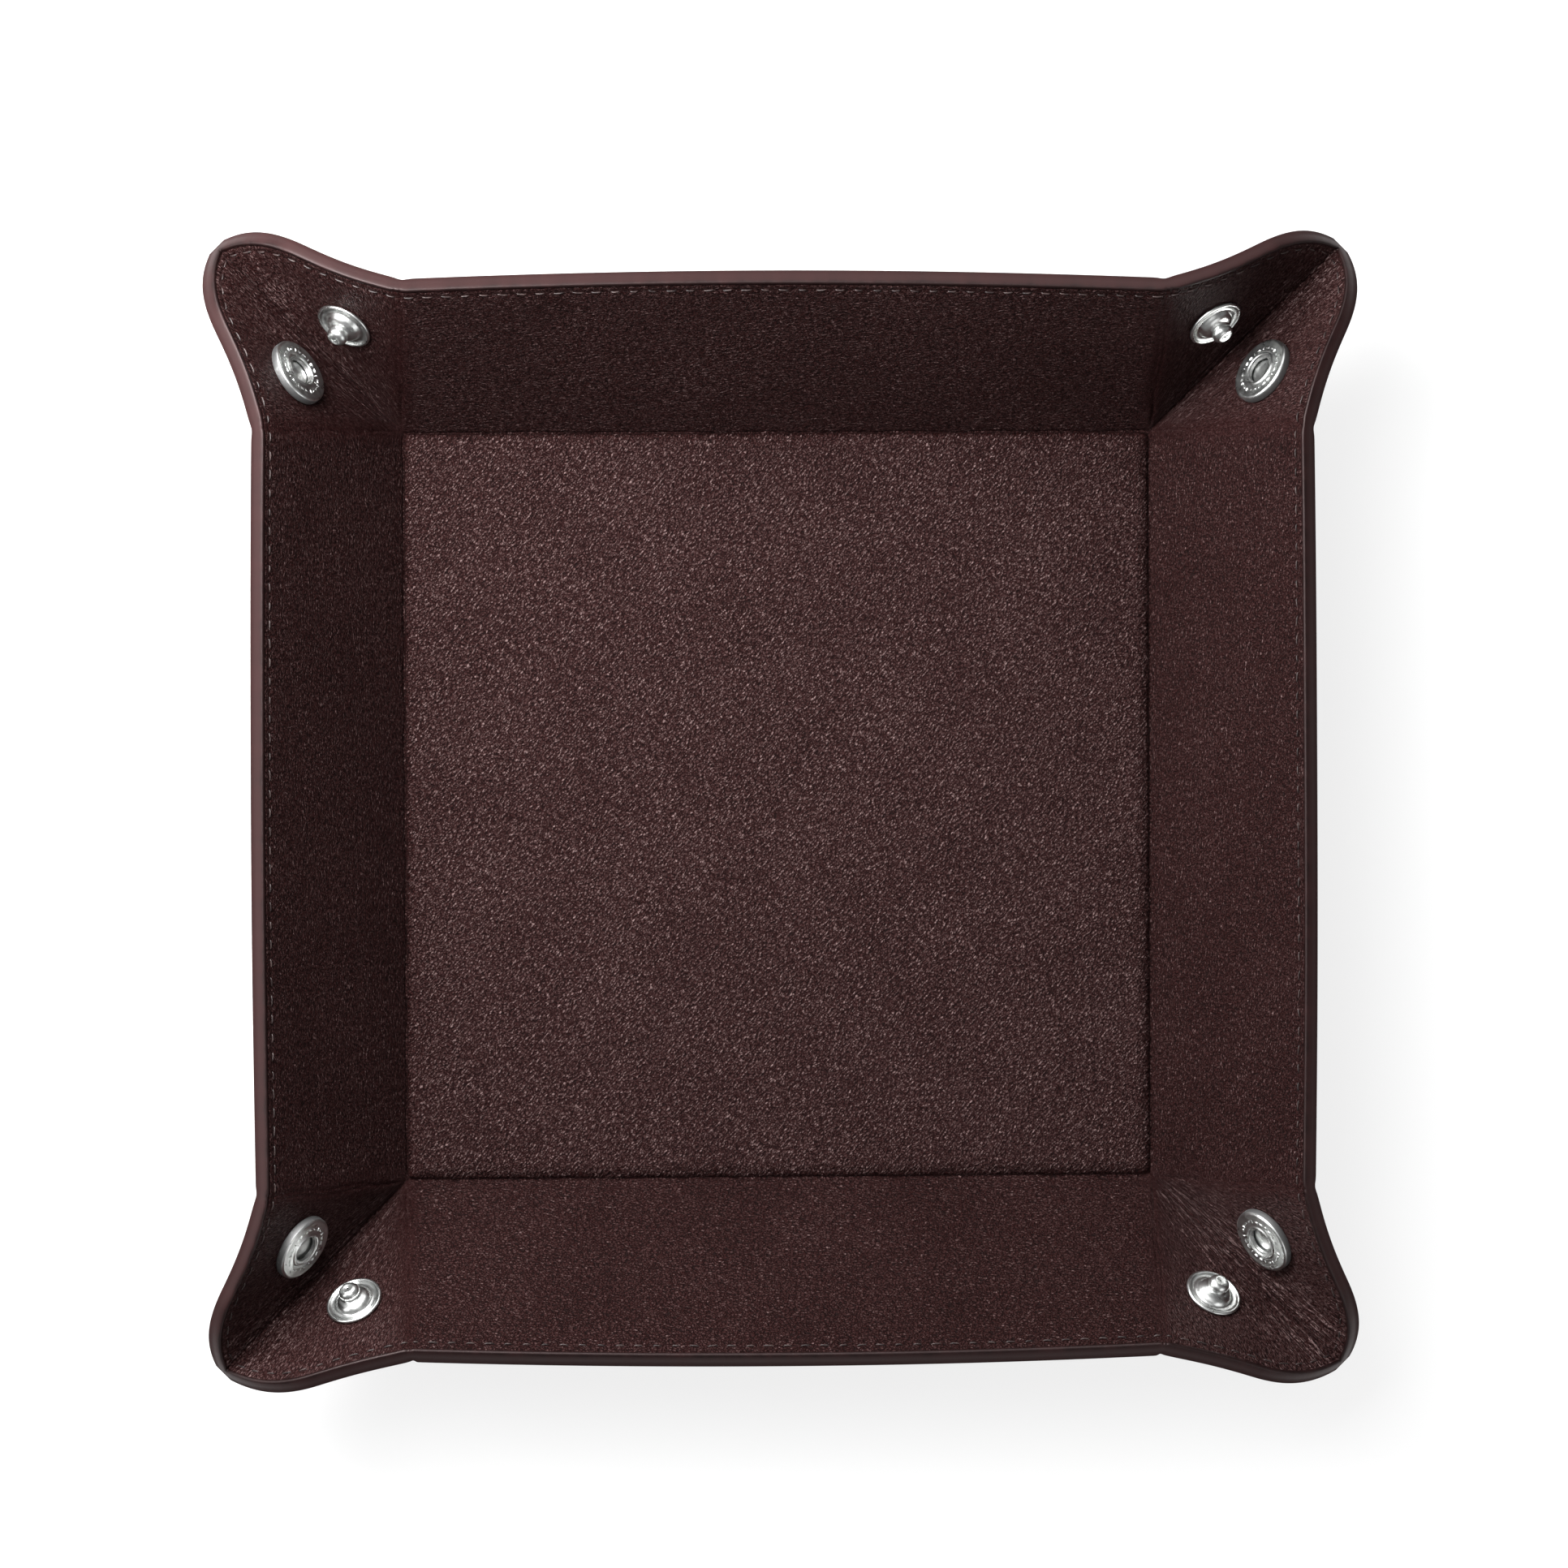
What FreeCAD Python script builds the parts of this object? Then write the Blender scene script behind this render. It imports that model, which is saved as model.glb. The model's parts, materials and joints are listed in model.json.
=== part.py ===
"""Folding dice tray: a square leather sheet with creased walls and snap-fastened corners.

Millimetres, +Z up. The origin is the centre of the base's underside. The tray is modelled with
its walls standing at WALL_ANGLE and its corner snaps open. Each wall and each half of a corner
ear is a flat plate, drawn in the flat sheet and then folded into place about its creases.

In the flat sheet, a corner's own coordinates are u, away from the side wall's crease, and v, away
from the end wall's crease, both from the corner of the base. Height is counted from the leather's
inner face, so the leather lies between -SHEET and 0.
"""
import FreeCAD, Part
import os
from math import asin, cos, degrees, radians, sin, sqrt

Vector = FreeCAD.Vector

# The sheet, seen flat
BASE_SIDE = 143.4           # between the creases of two opposite walls
WALL_WIDTH = 44.0           # from a wall's crease to the sheet's edge
CORNER_RADIUS = 23.5        # rounding of the sheet's four corners
LEATHER = 1.4               # one of the two leather layers
SHEET = 2 * LEATHER

# The stiffened base
BOARD = 1.2                 # thickness of the board between the layers
BOARD_INSET = 4.6           # from the crease to the board's edge
SHOULDER_OUTER = 0.9        # from the crease to the foot of the raised panel's shoulder
SHOULDER_INNER = 3.4        # from the crease to the top of the shoulder
BASE_CORNER_RADIUS = 3.0
BASE_TOP = SHEET + BOARD

# The fold as stored
WALL_ANGLE = radians(55.0)

# Room left at the creases
VALLEY_GAP = 0.35           # either side of a crease that closes on the inner face
MOUNTAIN_GAP_INNER = 1.0    # either side of a crease that closes on the outer face, inner layer
MOUNTAIN_GAP_OUTER = 1.6    # the same, outer layer

# The seam round the edge
SEAM_INSET = 2.1            # from the sheet's edge to the middle of the stitch line
SEAM_WIDTH = 0.6
SEAM_HEIGHT = 0.25
SEAM_END_GAP = 2.4          # from a crease to the end of a seam

# Where the snaps sit in an ear, from the base's corner
SNAP_ALONG = 28.0           # along the ear's diagonal crease
SNAP_ASIDE = 11.9           # out to each side of it
HOLE_RADIUS = 1.75          # hole through the leather for a snap's barrel

# Cap and socket, on the side wall's half of the ear
CAP_RADIUS = 6.2
CAP_RIM = 0.5
CAP_DOME = 1.5
BARREL_RADIUS = 1.7
BARREL_BORE = 1.3
FLARE_RADIUS = 2.5
SOCKET_RADIUS = 6.5
SOCKET_FLOOR = 0.5
FLARE_HEIGHT = 0.35
SOCKET_HEIGHT = 2.0
SOCKET_RIM_ROUND = 0.8
SOCKET_TOP = 0.4            # thickness of the socket's top plate
SOCKET_MOUTH = 2.9          # radius of the opening that takes the stud
SOCKET_CAVITY = 4.4         # radius of the room for the ring spring
LIP_RADIUS = 3.5
LIP_HEIGHT = 0.3
SPRING_INNER = 2.55
SPRING_OUTER = 3.9
SPRING_THICKNESS = 0.6

# Stud and post, on the end wall's half of the ear
STUD_RADIUS = 5.5
STUD_RIM = 0.35             # radius of the rolled edge
STUD_DISH = 0.35            # thickness of the dished disc
STUD_CONE = 3.1             # radius of the cone's foot
STUD_CONE_HEIGHT = 1.5
STUD_NECK = 2.0
STUD_NECK_HEIGHT = 2.2
STUD_HEAD = 2.25
STUD_HEAD_HEIGHT = 3.0
STUD_HEIGHT = 3.5
STUD_CROWN = 1.2            # radius of the stud's flat crown
STUD_BORE = 1.5
POST_RADIUS = 5.0
POST_FLANGE = 0.7
POST_TUBE = 1.4
POST_BORE = 0.9
POST_REACH = 2.6            # height of the post's tube above the inner face

HALF = BASE_SIDE / 2
DIAGONAL = sqrt(2) / 2      # cosine and sine of the flat diagonal
SOCKET_PLACE = ((SNAP_ALONG + SNAP_ASIDE) * DIAGONAL, (SNAP_ALONG - SNAP_ASIDE) * DIAGONAL)
MARGIN = 10.0               # how far a cutting block runs past what it cuts

SIDES = {"right": 1, "left": -1}
ENDS = {"back": 1, "front": -1}


# ---------------------------------------------------------------- plates drawn in the flat sheet

def slab(points, low, high):
    """A flat prism on the outline through points, between two heights."""
    outline = Part.makePolygon([Vector(x, y, low) for x, y in points + points[:1]])
    return Part.Face(outline).extrude(Vector(0, 0, high - low))


def rounded_corner(inset, low, high):
    """The sheet's corner square, with its outer corner rounded, drawn in by inset."""
    edge = WALL_WIDTH - inset
    centre = WALL_WIDTH - CORNER_RADIUS
    radius = CORNER_RADIUS - inset
    bend = Vector(centre + radius * DIAGONAL, centre + radius * DIAGONAL, low)
    start = Vector(edge, centre, low)
    end = Vector(centre, edge, low)
    corners = [end, Vector(0, edge, low), Vector(0, 0, low), Vector(edge, 0, low), start]
    wire = Part.Wire([Part.makePolygon(corners).Edges[i] for i in range(len(corners) - 1)]
                     + [Part.Arc(start, bend, end).toShape()])
    return Part.Face(wire).extrude(Vector(0, 0, high - low))


def ear_half(mountain_gap, valley_gap, low, high):
    """The block over the half of a corner square next to the side wall, clear of its creases."""
    far = WALL_WIDTH + MARGIN
    aside = valley_gap / DIAGONAL
    points = [(mountain_gap + aside, mountain_gap), (far, mountain_gap), (far, far - aside)]
    return slab(points, low, high)


def ear_plate(mountain_gap, low, high):
    """One leather layer of an ear half, with the hole for its snap."""
    plate = rounded_corner(0, low, high).common(ear_half(mountain_gap, VALLEY_GAP, low, high))
    hole = Part.makeCylinder(HOLE_RADIUS, high - low, Vector(*SOCKET_PLACE, low))
    return plate.cut(hole)


def ear_seam():
    """The stitch lines of an ear half, on the inner and the outer face."""
    strips = []
    for low in (0, -SHEET - SEAM_HEIGHT):
        high = low + SEAM_HEIGHT
        ring = rounded_corner(SEAM_INSET - SEAM_WIDTH / 2, low, high).cut(
            rounded_corner(SEAM_INSET + SEAM_WIDTH / 2, low, high))
        strips.append(ring.common(ear_half(SEAM_END_GAP, SEAM_END_GAP, low, high)))
    return Part.makeCompound([strip.Solids[0] for strip in strips])


def wall_plate(mountain_gap, low, high):
    """One leather layer of a wall, from its crease outwards, centred along the crease."""
    reach = HALF - mountain_gap
    return Part.makeBox(WALL_WIDTH - VALLEY_GAP, 2 * reach, high - low, Vector(VALLEY_GAP, -reach, low))


def wall_seam():
    """The stitch lines of a wall, on the inner and the outer face."""
    reach = HALF - SEAM_END_GAP
    start = WALL_WIDTH - SEAM_INSET - SEAM_WIDTH / 2
    strips = [Part.makeBox(SEAM_WIDTH, 2 * reach, SEAM_HEIGHT, Vector(start, -reach, low))
              for low in (0, -SHEET - SEAM_HEIGHT)]
    return Part.makeCompound(strips)


# ---------------------------------------------------------------- the base

def square(half_side, height, radius):
    """A square wire with rounded corners, centred on the origin."""
    near = half_side - radius
    bend = near + radius * DIAGONAL
    edges = []
    for turn in range(4):
        quarter = FreeCAD.Rotation(Vector(0, 0, 1), 90 * turn)
        run = [Vector(half_side, -near, height), Vector(half_side, near, height)]
        arc = [Vector(half_side, near, height), Vector(bend, bend, height), Vector(near, half_side, height)]
        edges.append(Part.makeLine(*[quarter.multVec(point) for point in run]))
        edges.append(Part.Arc(*[quarter.multVec(point) for point in arc]).toShape())
    return Part.Wire(edges)


def base_slab(inset, low, high, radius):
    """A flat square block, inset from the creases."""
    return Part.Face(square(HALF - inset, low, radius)).extrude(Vector(0, 0, high - low))


def base_outer_leather():
    return base_slab(VALLEY_GAP, 0, LEATHER, BASE_CORNER_RADIUS)


def base_board():
    return base_slab(BOARD_INSET, LEATHER, LEATHER + BOARD, BASE_CORNER_RADIUS)


def base_inner_leather():
    """The inner layer, raised over the board with a sloping shoulder, hollow for the board."""
    rim = base_slab(VALLEY_GAP, LEATHER, SHEET, BASE_CORNER_RADIUS)
    foot = square(HALF - SHOULDER_OUTER, SHEET, BASE_CORNER_RADIUS)
    top = square(HALF - SHOULDER_INNER, BASE_TOP, BASE_CORNER_RADIUS)
    panel = Part.makeLoft([foot, top], True, True)
    return rim.fuse(panel).cut(base_board())


# ---------------------------------------------------------------- snaps, on the axis of their hole

def turned(profile):
    """A solid turned about the vertical axis from (radius, height) points."""
    points = [Vector(radius, 0, height) for radius, height in profile]
    face = Part.Face(Part.makePolygon(points + points[:1]))
    return face.revolve(Vector(0, 0, 0), Vector(0, 0, 1), 360)


def domed_disc(radius, rim, dome, face):
    """A disc under face, with a square rim and a spherical bulge that hangs from it."""
    disc = Part.makeCylinder(radius, rim, Vector(0, 0, face - rim))
    ball_radius = (radius * radius + dome * dome) / (2 * dome)
    ball = Part.makeSphere(ball_radius, Vector(0, 0, face - rim - dome + ball_radius))
    below = Part.makeCylinder(radius, dome, Vector(0, 0, face - rim - dome))
    return disc.fuse(ball.common(below))


def snap_cap():
    """The button on the outer face, with a barrel through the leather, flared in the socket."""
    barrel = turned([(BARREL_BORE, -SHEET), (BARREL_RADIUS, -SHEET), (BARREL_RADIUS, SOCKET_FLOOR),
                     (FLARE_RADIUS, SOCKET_FLOOR), (FLARE_RADIUS, SOCKET_FLOOR + FLARE_HEIGHT),
                     (BARREL_BORE, SOCKET_FLOOR + FLARE_HEIGHT)])
    return domed_disc(CAP_RADIUS, CAP_RIM, CAP_DOME, -SHEET).fuse(barrel)


def snap_socket():
    """The round shell on the inner face, open in the middle and hollow for its spring."""
    shoulder = SOCKET_HEIGHT - SOCKET_RIM_ROUND
    bend = SOCKET_RIM_ROUND * (1 - DIAGONAL)
    edge = SOCKET_RADIUS - SOCKET_RIM_ROUND
    outline = [Part.makePolygon([Vector(SOCKET_MOUTH, 0, SOCKET_HEIGHT - SOCKET_TOP),
                                 Vector(SOCKET_CAVITY, 0, SOCKET_HEIGHT - SOCKET_TOP),
                                 Vector(SOCKET_CAVITY, 0, SOCKET_FLOOR),
                                 Vector(HOLE_RADIUS, 0, SOCKET_FLOOR),
                                 Vector(HOLE_RADIUS, 0, 0),
                                 Vector(edge, 0, 0),
                                 Vector(SOCKET_RADIUS, 0, shoulder / 2),
                                 Vector(SOCKET_RADIUS, 0, shoulder)]),
               Part.Arc(Vector(SOCKET_RADIUS, 0, shoulder),
                        Vector(SOCKET_RADIUS - bend, 0, SOCKET_HEIGHT - bend),
                        Vector(edge, 0, SOCKET_HEIGHT)).toShape(),
               Part.makePolygon([Vector(edge, 0, SOCKET_HEIGHT),
                                 Vector(LIP_RADIUS, 0, SOCKET_HEIGHT),
                                 Vector(LIP_RADIUS, 0, SOCKET_HEIGHT + LIP_HEIGHT),
                                 Vector(SOCKET_MOUTH, 0, SOCKET_HEIGHT + LIP_HEIGHT),
                                 Vector(SOCKET_MOUTH, 0, SOCKET_HEIGHT - SOCKET_TOP)])]
    wire = Part.Wire([edge_part for piece in outline for edge_part in piece.Edges])
    return Part.Face(wire).revolve(Vector(0, 0, 0), Vector(0, 0, 1), 360)


def snap_spring():
    """The ring spring under the socket's top plate."""
    top = SOCKET_HEIGHT - SOCKET_TOP
    low = top - SPRING_THICKNESS
    return turned([(SPRING_INNER, low), (SPRING_OUTER, low), (SPRING_OUTER, top), (SPRING_INNER, top)])


def snap_stud():
    """The dished disc on the inner face, rising to a necked head, hollow for its post."""
    return turned([(STUD_BORE, 0), (STUD_CONE, 0), (STUD_RADIUS, STUD_RIM), (STUD_RADIUS, 3 * STUD_RIM),
                   (STUD_RADIUS - STUD_RIM, 3 * STUD_RIM), (STUD_CONE + STUD_RIM, STUD_DISH + STUD_RIM),
                   (STUD_CONE, STUD_DISH + STUD_RIM), (STUD_NECK + STUD_RIM, STUD_CONE_HEIGHT),
                   (STUD_NECK, STUD_NECK_HEIGHT), (STUD_HEAD, (STUD_NECK_HEIGHT + STUD_HEAD_HEIGHT) / 2),
                   (STUD_HEAD, STUD_HEAD_HEIGHT), (STUD_CROWN, STUD_HEIGHT),
                   (POST_BORE, STUD_HEIGHT), (POST_BORE, POST_REACH + STUD_RIM),
                   (STUD_BORE, POST_REACH + STUD_RIM)])


def snap_post():
    """The flat flange on the outer face, with a tube that holds the stud from inside."""
    return turned([(POST_BORE, -SHEET - POST_FLANGE), (POST_RADIUS, -SHEET - POST_FLANGE),
                   (POST_RADIUS, -SHEET), (POST_TUBE, -SHEET), (POST_TUBE, POST_REACH),
                   (POST_BORE, POST_REACH)])


# ---------------------------------------------------------------- folding into place

def diagonal_direction():
    """The direction of the folded ear's diagonal crease, from the corner of the base.

    It makes 45 degrees with the side wall's edge and with the end wall's edge, as in the flat
    sheet. Its two level parts are equal, and its rise is the smaller of the two solutions.
    """
    across = cos(WALL_ANGLE)
    up = sin(WALL_ANGLE)
    # (a, a, c) with a * across + c * up = DIAGONAL and 2 a^2 + c^2 = 1
    square_term = 2 * up * up + across * across
    half_term = 2 * up * DIAGONAL
    constant = 2 * DIAGONAL * DIAGONAL - across * across
    rise = (half_term - sqrt(half_term * half_term - square_term * constant)) / square_term
    level = (DIAGONAL - rise * up) / across
    return Vector(level, level, rise)


def placement(origin, first, second):
    """The placement whose x and y axes point along first and second."""
    third = first.cross(second)
    matrix = FreeCAD.Matrix(first.x, second.x, third.x, origin.x,
                            first.y, second.y, third.y, origin.y,
                            first.z, second.z, third.z, origin.z,
                            0, 0, 0, 1)
    return FreeCAD.Placement(matrix)


def placed(shape, place):
    """A copy of shape, moved rigidly by place."""
    copy = shape.copy()
    copy.Placement = place.multiply(copy.Placement)
    return copy


def side_ear_placement():
    """Puts an ear half drawn in the flat sheet next to the right wall, at the back corner."""
    edge = Vector(cos(WALL_ANGLE), 0, sin(WALL_ANGLE))
    return placement(Vector(HALF, HALF, SHEET), edge, diagonal_direction() * sqrt(2) - edge)


def wall_placement(side):
    """Puts a wall on one of the four sides: 0 right, 1 back, 2 left, 3 front."""
    right = placement(Vector(HALF, 0, SHEET), Vector(cos(WALL_ANGLE), 0, sin(WALL_ANGLE)), Vector(0, 1, 0))
    turn = FreeCAD.Placement(Vector(0, 0, 0), FreeCAD.Rotation(Vector(0, 0, 1), 90 * side))
    return turn.multiply(right)


def to_corner(shape, side, end):
    """Mirrors a shape made for the back right corner to the corner at side and end."""
    if side < 0:
        shape = shape.mirror(Vector(0, 0, 0), Vector(1, 0, 0))
    if end < 0:
        shape = shape.mirror(Vector(0, 0, 0), Vector(0, 1, 0))
    return shape


def side_half(shape, side, end):
    """Folds an ear half that belongs to the side wall."""
    return to_corner(placed(shape, side_ear_placement()), side, end)


def end_half(shape, side, end):
    """Folds the same ear half, mirrored in the corner's diagonal, next to the end wall."""
    folded = placed(shape, side_ear_placement())
    across_diagonal = folded.mirror(Vector(0, 0, 0), Vector(DIAGONAL, -DIAGONAL, 0))
    return to_corner(across_diagonal, side, end)


# ---------------------------------------------------------------- the whole tray

def save(name, shape):
    """Writes one node, which holds only closed solids."""
    solids = shape.Solids
    if not solids or not all(solid.isValid() and solid.Volume > 0 for solid in solids):
        raise ValueError(name + " is not a set of valid solids")
    body = solids[0] if len(solids) == 1 else Part.makeCompound(solids)
    body.exportStep("parts/" + name + ".step")
    print(name, len(solids), round(sum(solid.Volume for solid in solids), 1))


def save_base():
    save("base_outer_leather", base_outer_leather())
    save("base_board", base_board())
    save("base_inner_leather", base_inner_leather())


def save_walls():
    for side, name in enumerate(("right", "back", "left", "front")):
        place = wall_placement(side)
        save("wall_" + name + "_inner_leather", placed(wall_plate(MOUNTAIN_GAP_INNER, -LEATHER, 0), place))
        save("wall_" + name + "_outer_leather",
             placed(wall_plate(MOUNTAIN_GAP_OUTER, -SHEET, -LEATHER), place))
        save("wall_" + name + "_seam", placed(wall_seam(), place))


def save_ears():
    inner = ear_plate(MOUNTAIN_GAP_INNER, -LEATHER, 0)
    outer = ear_plate(MOUNTAIN_GAP_OUTER, -SHEET, -LEATHER)
    seam = ear_seam()
    for end_name, end in ENDS.items():
        for side_name, side in SIDES.items():
            corner = end_name + "_" + side_name
            for half_name, fold in (("socket_flap_", side_half), ("stud_flap_", end_half)):
                save(half_name + corner + "_inner_leather", fold(inner, side, end))
                save(half_name + corner + "_outer_leather", fold(outer, side, end))
                save(half_name + corner + "_seam", fold(seam, side, end))


def save_snaps():
    on_hole = FreeCAD.Placement(Vector(*SOCKET_PLACE, 0), FreeCAD.Rotation())
    pieces = {"snap_cap_": (snap_cap(), side_half), "snap_socket_": (snap_socket(), side_half),
              "snap_spring_": (snap_spring(), side_half), "snap_stud_": (snap_stud(), end_half),
              "snap_post_": (snap_post(), end_half)}
    for end_name, end in ENDS.items():
        for side_name, side in SIDES.items():
            for name, (piece, fold) in pieces.items():
                save(name + end_name + "_" + side_name, fold(placed(piece, on_hole), side, end))


def main():
    os.makedirs("parts", exist_ok=True)
    print("diagonal rises", round(degrees(asin(diagonal_direction().z)), 3), "degrees")
    save_base()
    save_walls()
    save_ears()
    save_snaps()


main()
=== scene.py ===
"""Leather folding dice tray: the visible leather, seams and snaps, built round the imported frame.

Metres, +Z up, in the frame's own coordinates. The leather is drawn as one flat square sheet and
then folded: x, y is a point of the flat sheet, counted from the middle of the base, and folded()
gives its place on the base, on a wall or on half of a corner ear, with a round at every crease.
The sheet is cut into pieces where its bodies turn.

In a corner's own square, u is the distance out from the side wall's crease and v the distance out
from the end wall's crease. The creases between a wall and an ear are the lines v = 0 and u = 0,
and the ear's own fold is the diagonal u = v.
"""

import json
import math
from collections import namedtuple

import bmesh
import bpy
import numpy as np
from mathutils import Matrix, Vector


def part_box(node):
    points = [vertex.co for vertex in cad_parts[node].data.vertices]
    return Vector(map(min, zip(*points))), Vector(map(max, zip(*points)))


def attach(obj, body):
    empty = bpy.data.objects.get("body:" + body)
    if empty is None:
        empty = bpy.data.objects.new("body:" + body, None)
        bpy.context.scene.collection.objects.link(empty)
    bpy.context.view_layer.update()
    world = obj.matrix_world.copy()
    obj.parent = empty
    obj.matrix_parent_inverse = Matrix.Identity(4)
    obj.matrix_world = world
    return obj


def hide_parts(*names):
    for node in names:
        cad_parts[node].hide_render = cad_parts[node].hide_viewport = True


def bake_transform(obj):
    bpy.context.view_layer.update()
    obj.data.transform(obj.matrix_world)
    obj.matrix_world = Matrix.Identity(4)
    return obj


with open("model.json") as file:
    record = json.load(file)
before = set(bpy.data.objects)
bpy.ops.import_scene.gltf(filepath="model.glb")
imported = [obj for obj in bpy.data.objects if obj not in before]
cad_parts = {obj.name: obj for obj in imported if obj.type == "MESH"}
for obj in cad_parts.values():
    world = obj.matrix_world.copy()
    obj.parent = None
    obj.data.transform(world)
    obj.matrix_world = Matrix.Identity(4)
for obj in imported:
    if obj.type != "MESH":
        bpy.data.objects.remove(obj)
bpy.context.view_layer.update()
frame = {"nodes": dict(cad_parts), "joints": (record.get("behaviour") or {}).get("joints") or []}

MM = 0.001
SEED = 11
TINY = 1e-7                 # keeps a divisor off zero
DIAGONAL = math.sqrt(0.5)   # cosine and sine of the flat diagonal

# ---------------------------------------------------------------- sizes read from the frame

SIDES = {"right": 1, "left": -1}
ENDS = {"back": 1, "front": -1}
Corner = namedtuple("Corner", "name side end signs up_side up_end ridge")


def joint(name):
    """The frame's joint of that name."""
    return next(row for row in frame["joints"] if row["name"] == name)


HALF = joint("wall_right_fold")["pos_m"][0]         # from the middle to the walls' creases
CREASE_Z = joint("wall_right_fold")["pos_m"][2]
SHEET = CREASE_Z                                    # the sheet lies on the floor at its creases
ORIGIN = np.array([HALF, HALF, CREASE_Z])           # the base's corner, in a corner's own square


def make_corner(side, end):
    """A corner's creases: up_side and up_end climb the walls' ends, and ridge is the ear's fold."""
    name = f"{end}_{side}"
    up_side = np.abs(joint(f"socket_flap_{name}_crease")["axis"])
    ridge = np.abs(joint(f"stud_flap_{name}_crease")["axis"])
    lean = math.atan2(ridge[2], ridge[1]) + math.acos(DIAGONAL / math.hypot(ridge[1], ridge[2]))
    up_end = np.array([0, math.cos(lean), math.sin(lean)])
    signs = np.array([SIDES[side], ENDS[end], 1])
    return Corner(name, side, end, signs, up_side, up_end, ridge)


CORNERS = [make_corner(side, end) for side in SIDES for end in ENDS]
SAMPLE = CORNERS[0]


def points_of(node, corner=SAMPLE):
    """A CAD node's points, counted from its own corner of the base and mirrored to back right."""
    points = np.array([vertex.co for vertex in frame["nodes"][node].data.vertices], float)
    return points * corner.signs - ORIGIN


WALL = (points_of("wall_right_inner_leather") @ SAMPLE.up_side).max()
EAR_LENGTH = (points_of("socket_flap_back_right_inner_leather") @ SAMPLE.ridge).max()
CORNER_RADIUS = (WALL / DIAGONAL - EAR_LENGTH) / (1 / DIAGONAL - 1)
PANEL_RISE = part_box("base_inner_leather")[1].z - CREASE_Z

# ---------------------------------------------------------------- sizes of the finish

BASE_ROUND = 0.35 * MM      # radius of the bend at a wall's crease
EAR_ROUND = 2.4 * MM        # radius of the bend between a wall and an ear
RIDGE_ROUND = 0.5 * MM      # radius of the bend along an ear's fold
RIDGE_OPENING = 0.7         # and below that, its share of the way from the base's corner
ROUND_GROWTH = 9.0 * MM     # over which a bend opens up from the base's corner
BASE_BAND = 2.0 * MM        # the stretch inside a wall's crease that the wall's piece takes in
EAR_BAND = 3.4 * MM
RIDGE_BAND = 3.2 * MM
STRIP_ANGLE = math.radians(7.8)

PANEL_FOOT = 0.15 * MM      # from the crease to the foot of the raised panel's shoulder
PANEL_TOP = 3.0 * MM
PANEL_CORNER = 1.2 * MM
SHOULDER_POWER = 2.0
END_BOW = 1.9 * MM          # how far the back and front walls bulge at the middle of their rims
SIDE_BOW = 0.6 * MM
BOW_POWER = 1.4             # above 1, the bulge is nearer to the rim
PAST_THE_RIM = 1.1          # share of a wall's width to which its bulge and sag still grow
FRONT_SAG = 4.5 * MM        # how much further out the front wall's rim hangs
EAR_CURL = 0.8 * MM         # how far an ear half curls, in near its crease and out near its tip

RIM_BULGE = 0.80 * MM       # how far the painted edge stands out from the leather's faces
RIM_SQUARENESS = 0.24       # 1 would be a half round edge, and 0 a flat one
RIM_LIP = 0.08 * MM
RIM_STEPS = 11
RIM_BAND = 4.0 * MM         # outer band of an ear where the mesh runs square to the rim
SEAM_INSET = 2.1 * MM
NOTCH = 0.40 * MM           # dent of the rim at the ends of a crease
NOTCH_WIDTH = 1.5 * MM

# Pressed lines, each with its depth and its width in the leather's inner face.
PANEL_GROOVE = (0.26 * MM, 0.32 * MM)   # round the raised panel
FOLD_LINE = (0.20 * MM, 0.45 * MM)      # along an ear's own fold
EAR_LINE = (0.11 * MM, 0.33 * MM)       # each of the two beside an ear
SEAM_CHANNEL = (0.13 * MM, 0.5 * MM)    # under the seam
EDGE_LINE = (0.10 * MM, 0.18 * MM)      # beside the painted edge
EAR_LINES_APART = 0.5 * MM              # half the distance between the two beside an ear
EAR_LINES_PART = (6 * MM, 14 * MM)      # out from the base they begin to part, and for how long
EAR_LINE_SWAY = 0.22 * MM
EAR_LINE_PACE = 3.1 * MM                # how slowly they sway, and the distance over which it begins
EAR_LINE_CALM = 9 * MM
EDGE_LINE_INSET = 0.78 * MM
CREASE_OFFSET = 0.2 * MM                # from the flat crease to where its bend shows

WRINKLE_COUNT = 17
WRINKLE_SPREAD = 11.0                   # millimetres either side of the fold, at the ear's tip
WRINKLE_FAN = 0.75                      # below 1, they spread out sooner
WRINKLE_PACE = 6 * MM                   # how slowly they sway
WRINKLE_FADES = (5 * MM, 6 * MM)        # over which one begins and ends
WRINKLE_BANK = (0.5, 2.2)               # height and width of the raised leather beside a wrinkle
WRINKLED = {"front_right": 1.0, "back_right": 0.55, "front_left": 0.7, "back_left": 0.6}
WAVE_COUNT = 14
WAVE_HEIGHT = 0.045 * MM
WAVES_ON_BASE = 0.35                    # share of them that the stiff base keeps
SNAP_SEAT = 0.14 * MM                   # how far a snap is pressed into the inner face
BACK_SEAT = 0.12 * MM                   # and its cap or post into the outer one
SEAT_RADII = (6.5 * MM, 5.5 * MM)       # of a socket's seat and of a stud's
SEAT_SLOPE = 1.7 * MM                   # width of the slope round a seat
SLOPE_REACH = 0.04 * MM                 # step over which the sheet's slopes are measured


# ---------------------------------------------------------------- the folded sheet

def step(amount):
    """0 to 1, with soft ends."""
    inside = np.clip(amount, 0, 1)
    return inside * inside * (3 - 2 * inside)


def bell(distance, width):
    """1 at no distance, falling off either side over width."""
    return np.exp(-(distance / width) ** 2)


def pressed(line, distance):
    """The relief of a pressed line, a (depth, width), by the distance from it."""
    depth, width = line
    return -depth * bell(distance, width)


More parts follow.
